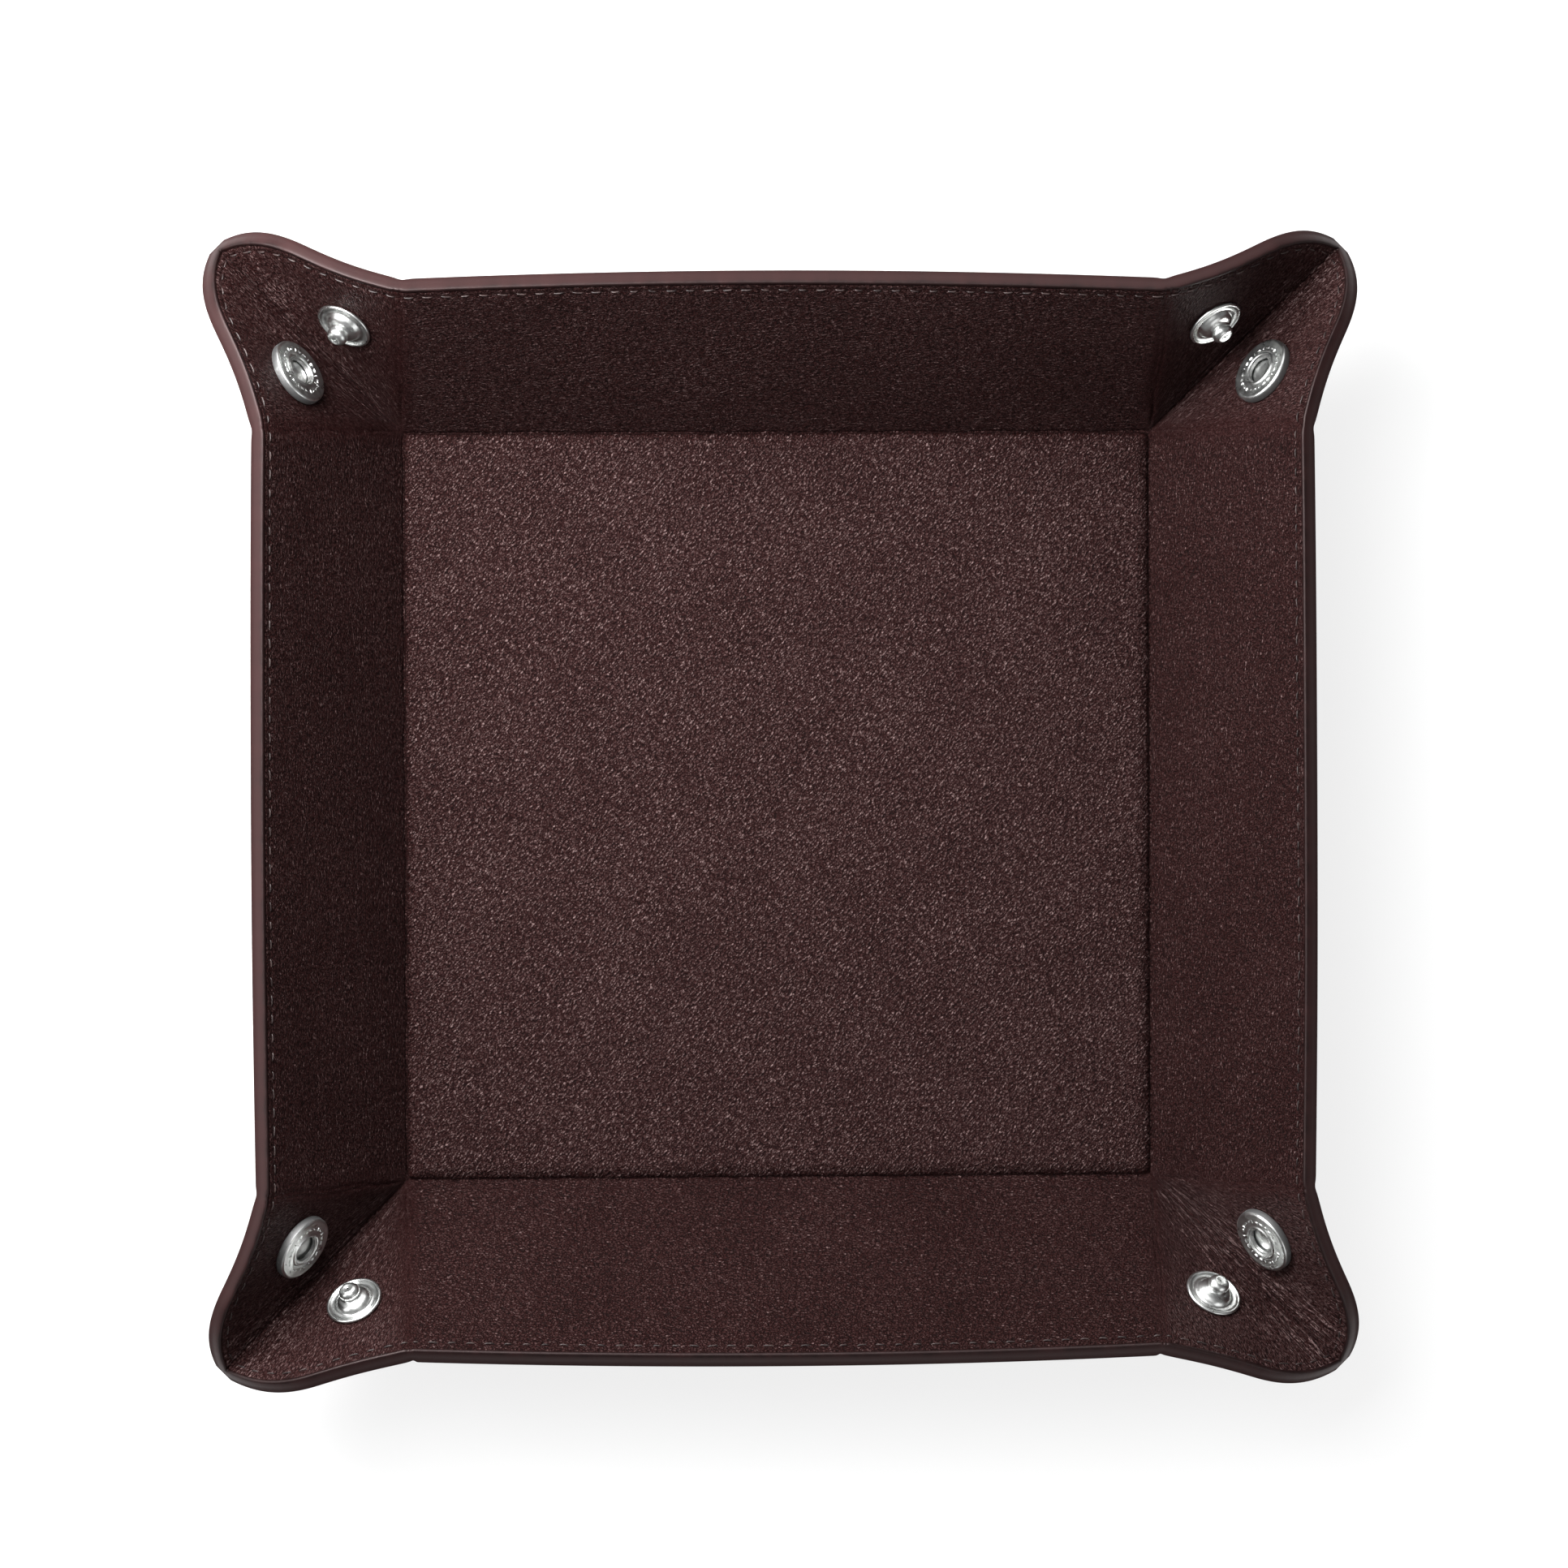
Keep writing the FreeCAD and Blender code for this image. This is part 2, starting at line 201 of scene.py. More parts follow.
def ramp(distance, radius):
    """0 before a crease and the distance after it, rounded within radius of it."""
    bend = (distance + radius) ** 2 / (4 * radius)
    return np.where(distance <= -radius, 0, np.where(distance >= radius, distance, bend))


def soft_abs(value, radius):
    """The size of a value, rounded within radius of 0."""
    return np.where(np.abs(value) >= radius, np.abs(value), (value ** 2 + radius ** 2) / (2 * radius))


def bend_radius(beside):
    """A crease's radius: tight at the base, open between a wall and an ear."""
    return BASE_ROUND + (EAR_ROUND - BASE_ROUND) * step(beside / ROUND_GROWTH)


def quadrants(x, y):
    """Each corner with the points that are on its quarter of the sheet."""
    right, back = x >= 0, y >= 0
    for corner in CORNERS:
        yield corner, (right == (corner.signs[0] > 0)) & (back == (corner.signs[1] > 0))


def folded(x, y):
    """Where points of the flat sheet's inner face lie once the tray is folded."""
    u, v = np.abs(x) - HALF, np.abs(y) - HALF
    across = ramp(u, bend_radius(v))
    along = ramp(v, bend_radius(u))
    radius = np.clip(RIDGE_OPENING * (across + along), TINY, RIDGE_ROUND)
    shared = (across + along - soft_abs(across - along, radius)) / 2
    place = np.empty(np.shape(x) + (3,))
    for corner, here in quadrants(x, y):
        local = (ORIGIN + np.outer(u[here] - across[here], (1, 0, 0))
                 + np.outer(v[here] - along[here], (0, 1, 0))
                 + np.outer(across[here] - shared[here], corner.up_side)
                 + np.outer(along[here] - shared[here], corner.up_end)
                 + np.outer(shared[here] / DIAGONAL, corner.ridge))
        place[here] = local * corner.signs
    return place


def unit(vectors):
    """Vectors brought to length 1."""
    return vectors / np.linalg.norm(vectors, axis=-1, keepdims=True)


def normals_of(place, x, y, reach=SLOPE_REACH):
    """Unit vectors off the inner face of the sheet that place(x, y) describes."""
    across = place(x + reach, y) - place(x - reach, y)
    along = place(x, y + reach) - place(x, y - reach)
    return unit(np.cross(across, along))


# ---------------------------------------------------------------- the sheet's relief

def inside_square(x, y, half, radius):
    """How far inside a rounded square the points lie."""
    across, along = np.abs(x) - (half - radius), np.abs(y) - (half - radius)
    outside = np.hypot(np.maximum(across, 0), np.maximum(along, 0))
    return radius - outside - np.minimum(np.maximum(across, along), 0)


def from_rim(x, y):
    """Distance in from the sheet's edge."""
    return inside_square(x, y, HALF + WALL, CORNER_RADIUS)


def panel_relief(x, y):
    """The base panel, raised by the board inside it."""
    inward = inside_square(x, y, HALF, PANEL_CORNER)
    climb = np.clip((inward - PANEL_FOOT) / (PANEL_TOP - PANEL_FOOT), 0, 1)
    return PANEL_RISE * (1 - (1 - climb) ** SHOULDER_POWER)


def crease_relief(x, y):
    """The pressed lines along the walls' creases and between the walls and the ears."""
    u, v = np.abs(x) - HALF, np.abs(y) - HALF
    waver = 0.16 * MM * np.sin((x + y) / (2.3 * MM)) + 0.10 * MM * np.sin((x - 2 * y) / (3.7 * MM))
    marks = pressed(PANEL_GROOVE, inside_square(x, y, HALF, PANEL_CORNER) - waver)
    marks += pressed(FOLD_LINE, u - v) * step(np.minimum(u, v) / (3 * MM))
    parts_at, parts_over = EAR_LINES_PART
    for outward, aside in ((u, v), (v, u)):
        apart = EAR_LINES_APART * step((outward - parts_at) / parts_over)
        sway = EAR_LINE_SWAY * np.sin(outward / EAR_LINE_PACE) * step(outward / EAR_LINE_CALM)
        for line in (-apart, apart):
            marks += pressed(EAR_LINE, aside - CREASE_OFFSET - line - sway) * step(outward / (5 * MM))
    return marks


def make_wrinkles():
    """Each ear's wrinkles: they fan out along its fold from the base's corner."""
    generator = np.random.default_rng(SEED)
    wrinkles = {}
    for corner in CORNERS:
        spread = np.linspace(-WRINKLE_SPREAD, WRINKLE_SPREAD, WRINKLE_COUNT)
        spread = spread + generator.uniform(-0.6, 0.6, WRINKLE_COUNT)
        wrinkles[corner.name] = [
            dict(end=aside * MM,
                 start=generator.uniform(3, 13) * MM,
                 stop=generator.uniform(30, 52) * MM,
                 depth=generator.uniform(0.05, 0.14) * MM * WRINKLED[corner.name],
                 width=generator.uniform(0.40, 0.62) * MM,
                 sway=generator.uniform(-1.0, 1.0) * MM,
                 phase=generator.uniform(0, 6)) for aside in spread]
    return wrinkles


WRINKLES = make_wrinkles()


def wrinkle_relief(x, y):
    """Fine folds of the inner face beside each ear's diagonal."""
    fade_in, fade_out = WRINKLE_FADES
    bank_height, bank_width = WRINKLE_BANK
    u, v = np.abs(x) - HALF, np.abs(y) - HALF
    outward, aside = (u + v) * DIAGONAL, (u - v) * DIAGONAL
    relief = np.zeros(np.shape(x))
    for corner, here in quadrants(x, y):
        here = here & (u > 0) & (v > 0)
        far, off = outward[here], aside[here]
        total = np.zeros(np.shape(far))
        for line in WRINKLES[corner.name]:
            middle = line["end"] * np.clip(far / EAR_LENGTH, 0, 1) ** WRINKLE_FAN
            middle = middle + line["sway"] * np.sin(far / WRINKLE_PACE + line["phase"])
            shown = step((far - line["start"]) / fade_in) * step((line["stop"] - far) / fade_out)
            gap = (off - middle) / line["width"]
            total += line["depth"] * shown * (bank_height * bell(gap, bank_width) - bell(gap, 1))
        relief[here] = total
    return relief


def snap_place(node, corner):
    """A snap piece's centre in the flat sheet (u, v), read from its CAD node on an ear half."""
    is_stud = node.startswith("snap_stud")
    first = corner.up_end if is_stud else corner.up_side
    second = unit(corner.ridge / DIAGONAL - first)
    points = points_of(node, corner)
    near, far = points @ first, points @ second
    place = ((near.min() + near.max()) / 2, (far.min() + far.max()) / 2)
    return place[::-1] if is_stud else place


SOCKET_PLACE = {c.name: snap_place(f"snap_socket_{c.name}", c) for c in CORNERS}
STUD_PLACE = {c.name: snap_place(f"snap_stud_{c.name}", c) for c in CORNERS}


def seat_relief(x, y, press):
    """The leather pressed down under and round each snap."""
    relief = np.zeros(np.shape(x))
    for corner, here in quadrants(x, y):
        u, v = np.abs(x[here]) - HALF, np.abs(y[here]) - HALF
        total = np.zeros(np.shape(u))
        places = (SOCKET_PLACE[corner.name], STUD_PLACE[corner.name])
        for (place_u, place_v), radius in zip(places, SEAT_RADII):
            away = np.hypot(u - place_u, v - place_v)
            total -= press * step((radius + 1.5 * MM - away) / SEAT_SLOPE)
        relief[here] = total
    return relief


def bow(x, y):
    """How far the walls bulge outwards between their corners, and how far the front one sags."""
    def up_the_wall(outward):
        return np.clip(outward / WALL, 0, PAST_THE_RIM)

    def arch(along):
        return np.clip(1 - (along / HALF) ** 2, 0, 1)

    u, v = np.abs(x) - HALF, np.abs(y) - HALF
    up_the_front = np.where(y < 0, up_the_wall(v), 0)
    off_the_fold = 1 - step(np.clip(u, 0, None) / np.maximum(v, 1e-6))
    near, far = np.minimum(u, v), np.maximum(u, v)
    towards_the_fold = np.clip(near, 0, None) / np.maximum(far, 1e-6)
    curl = -np.sin(2 * math.pi * towards_the_fold) * up_the_wall(far) ** 2
    return (SIDE_BOW * arch(y) * up_the_wall(u) ** BOW_POWER + END_BOW * arch(x) * up_the_wall(v) ** BOW_POWER
            + FRONT_SAG * up_the_front * off_the_fold + EAR_CURL * curl)


def make_waves():
    """The ways, paces and phases of the waves that add up to the leather's unevenness."""
    generator = np.random.default_rng(SEED + 1)
    return [(generator.uniform(-1, 1, 2) / (generator.uniform(9, 26) * MM), generator.uniform(0, 6))
            for _ in range(WAVE_COUNT)]


WAVES = make_waves()


def waviness(x, y):
    """Slow unevenness of the leather, small on the stiff base."""
    total = sum(np.sin(pace[0] * x + pace[1] * y + phase) for pace, phase in WAVES)
    outward = np.maximum(np.abs(x), np.abs(y)) - HALF
    kept = WAVES_ON_BASE + (1 - WAVES_ON_BASE) * step(outward / (14 * MM))
    return WAVE_HEIGHT * total * kept * step((outward + HALF) / HALF)


def height(x, y, depth):
    """Height off the flat inner face. depth is 0 on the inner face and 1 on the outer one."""
    rim = from_rim(x, y)
    lip = RIM_LIP * (1 - step((rim - 0.2 * MM) / (0.5 * MM))) + pressed(EDGE_LINE, rim - EDGE_LINE_INSET)
    channel = pressed(SEAM_CHANNEL, rim - SEAM_INSET)
    inner = (panel_relief(x, y) + crease_relief(x, y) + wrinkle_relief(x, y)
             + seat_relief(x, y, SNAP_SEAT) + channel + lip)
    outer = -SHEET - channel - lip - seat_relief(x, y, BACK_SEAT)
    both = -bow(x, y) + waviness(x, y) * step(rim / (6 * MM) + 0.3)
    return inner * (1 - depth) + outer * depth + both


def leaned(x, y):
    """The folded sheet with its walls' bulge and sag, and none of its fine relief."""
    return folded(x, y) - normals_of(folded, x, y) * bow(x, y)[..., None]


def surface(x, y, depth):
    """Points of the finished leather."""
    return folded(x, y) + normals_of(folded, x, y) * height(x, y, depth)[..., None]


# ---------------------------------------------------------------- meshes of the leather

def steps(*runs):
    """Samples along a line, from runs of (start, stop, spacing)."""
    samples = [runs[0][0]]
    for start, stop, spacing in runs:
        count = max(1, round((stop - start) / spacing))
        samples.extend(np.linspace(start, stop, count + 1)[1:])
    return np.array(samples)


RIM_LINE = WALL - RIM_BULGE + 0.3 * MM     # where a face ends and the painted edge begins
EAR_ROWS = steps((0, 1 * MM, 0.14 * MM), (1 * MM, 2 * MM, 0.33 * MM), (2 * MM, 7 * MM, 0.8 * MM),
                 (7 * MM, WALL - RIM_BAND, 1.1 * MM), (WALL - RIM_BAND, WALL - 3.2 * MM, 0.4 * MM),
                 (WALL - 3.2 * MM, WALL - 1.2 * MM, 0.25 * MM), (WALL - 1.2 * MM, RIM_LINE, 0.14 * MM))
WALL_ROWS = np.concatenate([steps((-BASE_BAND, -1 * MM, 0.3 * MM), (-1 * MM, 0, 0.14 * MM))[:-1], EAR_ROWS])


def profile(x, y, out_x, out_y):
    """Rows up the inner face carried on round the painted edge and back down the outer face."""
    turn = np.linspace(0, math.pi, RIM_STEPS + 1)[1:-1]
    u, v = np.abs(x[:, -1:]) - HALF, np.abs(y[:, -1:]) - HALF
    dent = NOTCH * (bell(u - CREASE_OFFSET, NOTCH_WIDTH) + bell(v - CREASE_OFFSET, NOTCH_WIDTH))
    bulge = np.sin(turn) ** RIM_SQUARENESS * RIM_BULGE - dent * np.sin(turn / 2) ** 2
    full_x = np.concatenate([x, x[:, -1:] + out_x[:, None] * bulge, x[:, ::-1]], axis=1)
    full_y = np.concatenate([y, y[:, -1:] + out_y[:, None] * bulge, y[:, ::-1]], axis=1)
    flat = np.zeros(x.shape[1])
    return full_x, full_y, np.concatenate([flat, turn, flat + math.pi])


def profile_normals(x, y, turn, out_x, out_y):
    """Shading normals, worked out from the surface itself so that pieces meet without a line."""
    depth = np.broadcast_to((1 - np.cos(turn)) / 2, x.shape)
    facing = normals_of(lambda a, b: surface(a, b, depth), x, y)
    beyond_x, beyond_y = x + out_x[:, None] * SLOPE_REACH, y + out_y[:, None] * SLOPE_REACH
    outward = unit(surface(beyond_x, beyond_y, depth) - surface(x, y, depth))
    round_the_edge = np.sin(turn)
    swell = np.clip(round_the_edge, 1e-3, 1) ** (RIM_SQUARENESS - 1) * RIM_SQUARENESS * RIM_BULGE
    return unit(facing * (swell * np.cos(turn))[:, None] + outward * (SHEET / 2 * round_the_edge)[:, None])


def profile_faces(columns, turn, collapsed):
    """The quads of a closed profile piece, the ones that are painted edge, and its end faces."""
    rows = len(turn)
    index = np.arange(columns * rows).reshape(columns, rows)
    if collapsed:
        index[:, 0] = index[0, 0]
        index[:, -1] = index[0, -1]
    skin = np.stack([index[:-1, :-1], index[1:, :-1], index[1:, 1:], index[:-1, 1:]], axis=-1)
    is_cut = np.broadcast_to(np.diff(turn) > math.pi / 2, skin.shape[:2])
    middle = (turn[:-1] + turn[1:]) / 2
    is_edge = np.broadcast_to((middle > 0) & (middle < math.pi), skin.shape[:2])
    closing = np.stack([index[1:, 0], index[:-1, 0], index[:-1, -1], index[1:, -1]], axis=-1)
    half = rows // 2
    caps = []
    for column, order in ((0, 1), (columns - 1, -1)):
        line = index[column]
        cap = np.stack([line[:half - 1], line[1:half], line[::-1][1:half], line[::-1][:half - 1]], axis=-1)
        caps.append(cap[:, ::order])
    return (np.concatenate([skin[~is_cut], skin[is_cut], closing, *caps]),
            is_edge[~is_cut], int((~is_cut).sum()))


# Strength of each ear's pleating and of the painted highlights along it
PLEATED = {"front_right": 1.0, "back_right": 0.6, "front_left": 0.6, "back_left": 0.5}
PANEL_GRAIN = math.radians(50)      # the way the base's grain runs
WALL_GRAIN = math.radians(8)        # how far off a wall's length its grain runs
BASE_LAYER, SIDE_LAYER, END_LAYER = 0, 50, 90       # depths in the grain of the base and the walls
EAR_LAYERS = (300, 700)             # and of the ears, by their side and end


def grain_attributes(x, y):
    """Texture coordinates of the grain, in millimetres of the flat sheet, and how it looks there.

    On the base and the walls the grain runs straight, and in the ears it fans out along the fold.
    The look is the share of the ear's grain and of the ears' painted fill light, the strength of the base's
    grain and of its painted light, and that of the ears' pleating with its painted highlights.
    """
    u, v = np.abs(x) - HALF, np.abs(y) - HALF
    panel = inside_square(x, y, HALF, PANEL_CORNER) > 0.2 * MM
    on_side = ~panel & (u > v)
    along = np.where(on_side, y, x)
    across = np.where(on_side, x, y)
    slant = WALL_GRAIN * np.sign(across)
    along, across = along + slant * across, across - slant * along
    turned = x * math.cos(PANEL_GRAIN) + y * math.sin(PANEL_GRAIN)
    along = np.where(panel, turned, along)
    across = np.where(panel, y * math.cos(PANEL_GRAIN) - x * math.sin(PANEL_GRAIN), across)
    layer = np.where(panel, BASE_LAYER, np.where(on_side, SIDE_LAYER, END_LAYER))
    straight = np.stack([along / MM, across / MM, layer], axis=-1)

    outward, aside = (u + v) * DIAGONAL, (u - v) * DIAGONAL
    fan = np.sqrt(np.clip(outward / EAR_LENGTH, 0.06, 1))
    layer = np.sign(x) * EAR_LAYERS[0] + np.sign(y) * EAR_LAYERS[1]
    fanned = np.stack([outward / MM, aside / fan / MM, layer], axis=-1)

    pleats_and_glints = np.zeros(np.shape(x))
    for corner, here in quadrants(x, y):
        pleats_and_glints[here] = PLEATED[corner.name]
    pleats_and_glints = pleats_and_glints * bell(aside, 9 * MM) * step((outward - 1 * MM) / (5 * MM))
    look = np.stack([step((np.minimum(u, v) + 4 * MM) / (8 * MM)),
                     step(inside_square(x, y, HALF, PANEL_CORNER) / (1.2 * MM)), pleats_and_glints], axis=-1)
    return {"wall_grain": straight, "ear_grain": fanned, "look": look}


def add_attributes(mesh, x, y, depth):
    """Stores what the leather's materials read: the grain's coordinates and looks, and the depth."""
    mesh.attributes.new("depth", "FLOAT", "POINT").data.foreach_set("value", depth.astype(np.float32))
    for attribute, values in grain_attributes(x, y).items():
        mesh.attributes.new(attribute, "FLOAT_VECTOR", "POINT").data.foreach_set(
            "vector", values.astype(np.float32).ravel())


def closed_mesh(name, points, faces):
    """A smooth closed mesh with all its faces turned outwards."""
    mesh = bpy.data.meshes.new(name)
    mesh.from_pydata(points.tolist(), [], faces)
    work = bmesh.new()
    work.from_mesh(mesh)
    bmesh.ops.recalc_face_normals(work, faces=work.faces)
    work.to_mesh(mesh)
    work.free()
    mesh.polygons.foreach_set("use_smooth", [True] * len(mesh.polygons))
    return mesh


def tube_faces(rings):
    """The faces of a closed tube, from its points' numbers with one row for each ring."""
    beside = np.roll(rings, -1, axis=1)
    sides = np.stack([rings[:-1], beside[:-1], beside[1:], rings[1:]], axis=-1).reshape(-1, 4)
    return [*sides.tolist(), rings[0, ::-1].tolist(), rings[-1].tolist()]


def in_scene(name, data, *materials):
    """An object of a mesh with its materials, or of a light or a camera, placed in the scene."""
    for material in materials:
        data.materials.append(material)
    thing = bpy.data.objects.new(name, data)
    bpy.context.scene.collection.objects.link(thing)
    return thing


def leather_piece(name, x, y, turn, out_x, out_y, collapsed=False):
    """A closed piece of leather from its profile's flat coordinates, columns first."""
    depth = np.broadcast_to((1 - np.cos(turn)) / 2, x.shape)
    points = surface(x, y, depth).reshape(-1, 3)
    normals = profile_normals(x, y, turn, out_x, out_y).reshape(-1, 3)
    quads, is_edge, skin_count = profile_faces(len(x), turn, collapsed)
    first = quads[len(quads) // 3]
    facing = np.cross(points[first[2]] - points[first[0]], points[first[3]] - points[first[1]])
    if facing @ normals[first].sum(axis=0) < 0:
        quads = quads[:, ::-1]
    used, quads = np.unique(quads, return_inverse=True)
    faces, painted, is_skin = [], [], []
    for number, quad in enumerate(quads.reshape(-1, 4).tolist()):
        corners = list(dict.fromkeys(quad))
        if len(corners) > 2:
            faces.append(corners)
            is_skin.append(number < skin_count)
            painted.append(number < skin_count and bool(is_edge[number]))
    mesh = bpy.data.meshes.new(name)
    mesh.from_pydata(points[used].tolist(), [], faces)
    add_attributes(mesh, x.reshape(-1)[used], y.reshape(-1)[used], depth.reshape(-1)[used])
    mesh.polygons.foreach_set("use_smooth", [True] * len(faces))
    mesh.polygons.foreach_set("material_index", [int(paint) for paint in painted])
    shading = normals[used].tolist()
    loops = [shading[corner] if skin else tuple(polygon.normal)
             for polygon, corners, skin in zip(mesh.polygons, faces, is_skin) for corner in corners]
    mesh.normals_split_custom_set(loops)
    piece = in_scene(name, mesh, LEATHER, EDGE_PAINT)
    return piece


# ---------------------------------------------------------------- materials

def set_inputs(node, inputs):
    """Sets a node's inputs, each to a number, a colour or another node's output."""
    for name, value in inputs.items():
        if isinstance(value, bpy.types.NodeSocket):
            node.id_data.links.new(value, node.inputs[name])
        else:
            node.inputs[name].default_value = value


def new_material(name):
    """A material with its main shader and a helper that adds nodes with their inputs and settings."""
    material = bpy.data.materials.new(name)
    material.use_nodes = True
    tree = material.node_tree

    def add(kind, inputs=None, **settings):
        node = tree.nodes.new("ShaderNode" + kind)
        for setting, value in settings.items():
            setattr(node, setting, value)
        set_inputs(node, inputs or {})
        return node

    return material, tree.nodes["Principled BSDF"], add


def stored(add, name, output="Fac"):
    """What the mesh's points carry under that name."""
    return add("Attribute", attribute_name=name).outputs[output]


def noise(add, vector, scale, detail, **more):
    """Cloudy noise, mostly from 0.3 to 0.7."""
    return add("TexNoise", {"Vector": vector, "Scale": scale, "Detail": detail, **more}).outputs["Fac"]


def mapped(add, value, low, high, to_low=0.0, to_high=1.0, **settings):
    """A value carried from the range low, high to the range to_low, to_high, and held inside it."""
    return add("MapRange", {"Value": value, "From Min": low, "From Max": high,
                            "To Min": to_low, "To Max": to_high}, **settings).outputs["Result"]


def calculated(add, operation, *values):
    """A sum on up to three values, by the name of a Math node's operation."""
    return add("Math", dict(enumerate(values)), operation=operation).outputs[0]


def paced(add, coordinates, *pace):
    """Texture coordinates with each axis run at its own pace."""
    return add("VectorMath", {0: coordinates, 1: pace}, operation="MULTIPLY").outputs[0]


def bumped(add, relief, strength, distance):
    """A normal that follows a relief, which stands distance high where it is 1."""
    return add("Bump", {"Height": relief, "Strength": strength, "Distance": distance}).outputs["Normal"]


def blended(add, low, high, share):
    """A number between two others, by share."""
    return add("Mix", {"Factor": share, 2: low, 3: high}).outputs[0]


def ramped(add, value, *stops):
    """A colour ramp through stops of (position, colour)."""
    node = add("ValToRGB", {"Fac": value})
    elements = node.color_ramp.elements
    while len(elements) < len(stops):
        elements.new(0.5)
    for element, (position, colour) in zip(elements, stops):
        element.position = position
        element.color = (*colour, 1)
    return node.outputs["Color"]


def grain_height(add, coordinates, stretch, scale, wobble):
    """Pebbles between cracks, stretched along the first coordinate, as a height from 0 to about 2."""
    shift = add("TexNoise", {"Vector": coordinates, "Scale": 0.45, "Detail": 2.0}).outputs["Color"]
    centred = add("VectorMath", {0: shift, 1: (0.5, 0.5, 0.5)}, operation="SUBTRACT").outputs[0]
    moved = add("VectorMath", {0: centred, 1: (wobble,) * 3, 2: coordinates},
                operation="MULTIPLY_ADD").outputs[0]
    drawn_out = paced(add, moved, 1 / stretch, 1.0, 1.0)
    cracks = add("TexVoronoi", {"Vector": drawn_out, "Scale": scale},
                 feature="DISTANCE_TO_EDGE").outputs["Distance"]
    dome = mapped(add, cracks, 0.0, 0.20, interpolation_type="SMOOTHSTEP")
    pores = mapped(add, noise(add, drawn_out, scale * 0.9, 4.0), 0.3, 0.7)
    return calculated(add, "MULTIPLY_ADD", pores, 0.9, dome)


def fine_lines(add, coordinates, pace, width):
    """Thin broken lines that run along the first coordinate, as 0 between them and 1 on them."""
    waves = noise(add, paced(add, coordinates, *pace), 1.0, 3.0, Roughness=0.55, Distortion=0.3)
    off_line = calculated(add, "ABSOLUTE", calculated(add, "SUBTRACT", waves, 0.5))
    lines = mapped(add, off_line, width, 0.0, interpolation_type="SMOOTHSTEP")
    unbroken = mapped(add, noise(add, coordinates, 0.55, 2.0), 0.37, 0.52)
    return calculated(add, "MULTIPLY", lines, unbroken)


def sparks(add, coordinates, stretch, scale):
    """Small scattered peaks of the grain, drawn out along the first coordinate, as 0 to 1; the leather paints
    its highlights on them.
    """
    peaks = noise(add, paced(add, coordinates, 1 / stretch, 1.0, 1.0), scale, 2.0, Roughness=0.5)
    return mapped(add, peaks, 0.49, 0.64)


def make_leather():
    """Espresso leather with a stretched pebble grain, pulled into fine pleating in the ears, with painted
    highlights on its peaks and along the pleating, painted light on the base and painted fill light in the
    ears.
    """
    material, shader, add = new_material("espresso_leather")
    straight = stored(add, "wall_grain", "Vector")
    fanned = stored(add, "ear_grain", "Vector")
    look = add("SeparateXYZ", {"Vector": stored(add, "look", "Vector")})
    ear_share, panel_share, pleated = (look.outputs[axis] for axis in "XYZ")
    outside = mapped(add, stored(add, "depth"), 0.6, 0.9)

    pebbles = blended(add, grain_height(add, straight, 1.35, 2.2, 0.8),
                      grain_height(add, fanned, 2.4, 2.3, 0.6), ear_share)
    # Painted highlights along the pleating: thin lines that lighten the colour as light catching their ridges
    # would, and raise those ridges in the bump.
    pleats_and_glints = calculated(add, "MULTIPLY", fine_lines(add, fanned, (0.05, 0.50, 1.0), 0.044), pleated)
    pleats_and_glints = blended(add, pleats_and_glints, 0.0, outside)
    # Broken lines along which the grain's peaks and their painted highlights gather.
    chains = fine_lines(add, straight, (0.09, 0.43, 1.0), 0.12)
    chains = calculated(add, "MULTIPLY_ADD", chains, 0.34, 0.62)
    # Painted highlights: the sparks lighten the colour as glints of light on the grain's peaks would, and
    # raise those peaks in the bump.
    peaks_and_glints = calculated(add, "MULTIPLY", sparks(add, straight, 2.9, 2.7), chains)
    ear_peaks_and_glints = calculated(add, "MULTIPLY", sparks(add, fanned, 2.8, 2.6), 0.45)
    peaks_and_glints = blended(add, blended(add, peaks_and_glints, ear_peaks_and_glints, ear_share), 0.12, outside)
    relief = calculated(add, "MULTIPLY_ADD", peaks_and_glints, 1.6, pebbles)
    relief = calculated(add, "MULTIPLY_ADD", pleats_and_glints, 2.6, relief)
    strength = blended(add, 0.85, 1.0, panel_share)

    # The colour: random blotches and the grain, lightened by the painted highlights, by painted light on the
    # base panel (panel_share) and by painted fill light for the ears' shaded halves (ear_share).
    shade = noise(add, straight, 0.05, 4.0)
    for part, share in ((pebbles, 2.2), (peaks_and_glints, blended(add, 1.9, 2.6, panel_share)), (pleats_and_glints, 3.0),
                        (panel_share, 0.6), (ear_share, 0.5)):
        shade = calculated(add, "MULTIPLY_ADD", part, share, shade)
    # The ramp's last stop is the pale pinkish colour of the painted highlights.
    set_inputs(shader, {
        "Base Color": ramped(add, mapped(add, shade, 2.1, 6.7),
                             (0.0, (0.0030, 0.0008, 0.0008)), (0.15, (0.0115, 0.0025, 0.0024)),
                             (0.36, (0.0180, 0.0056, 0.0054)), (0.58, (0.0368, 0.0188, 0.0181)),
                             (1.0, (0.1600, 0.1080, 0.1050))),
        "Roughness": mapped(add, relief, 0.3, 2.2, 0.66, 0.32),
        "Normal": bumped(add, relief, strength, 0.15 * MM),
        "Specular IOR Level": 0.13,
        "Specular Tint": (1.0, 0.70, 0.69, 1)})
    return material


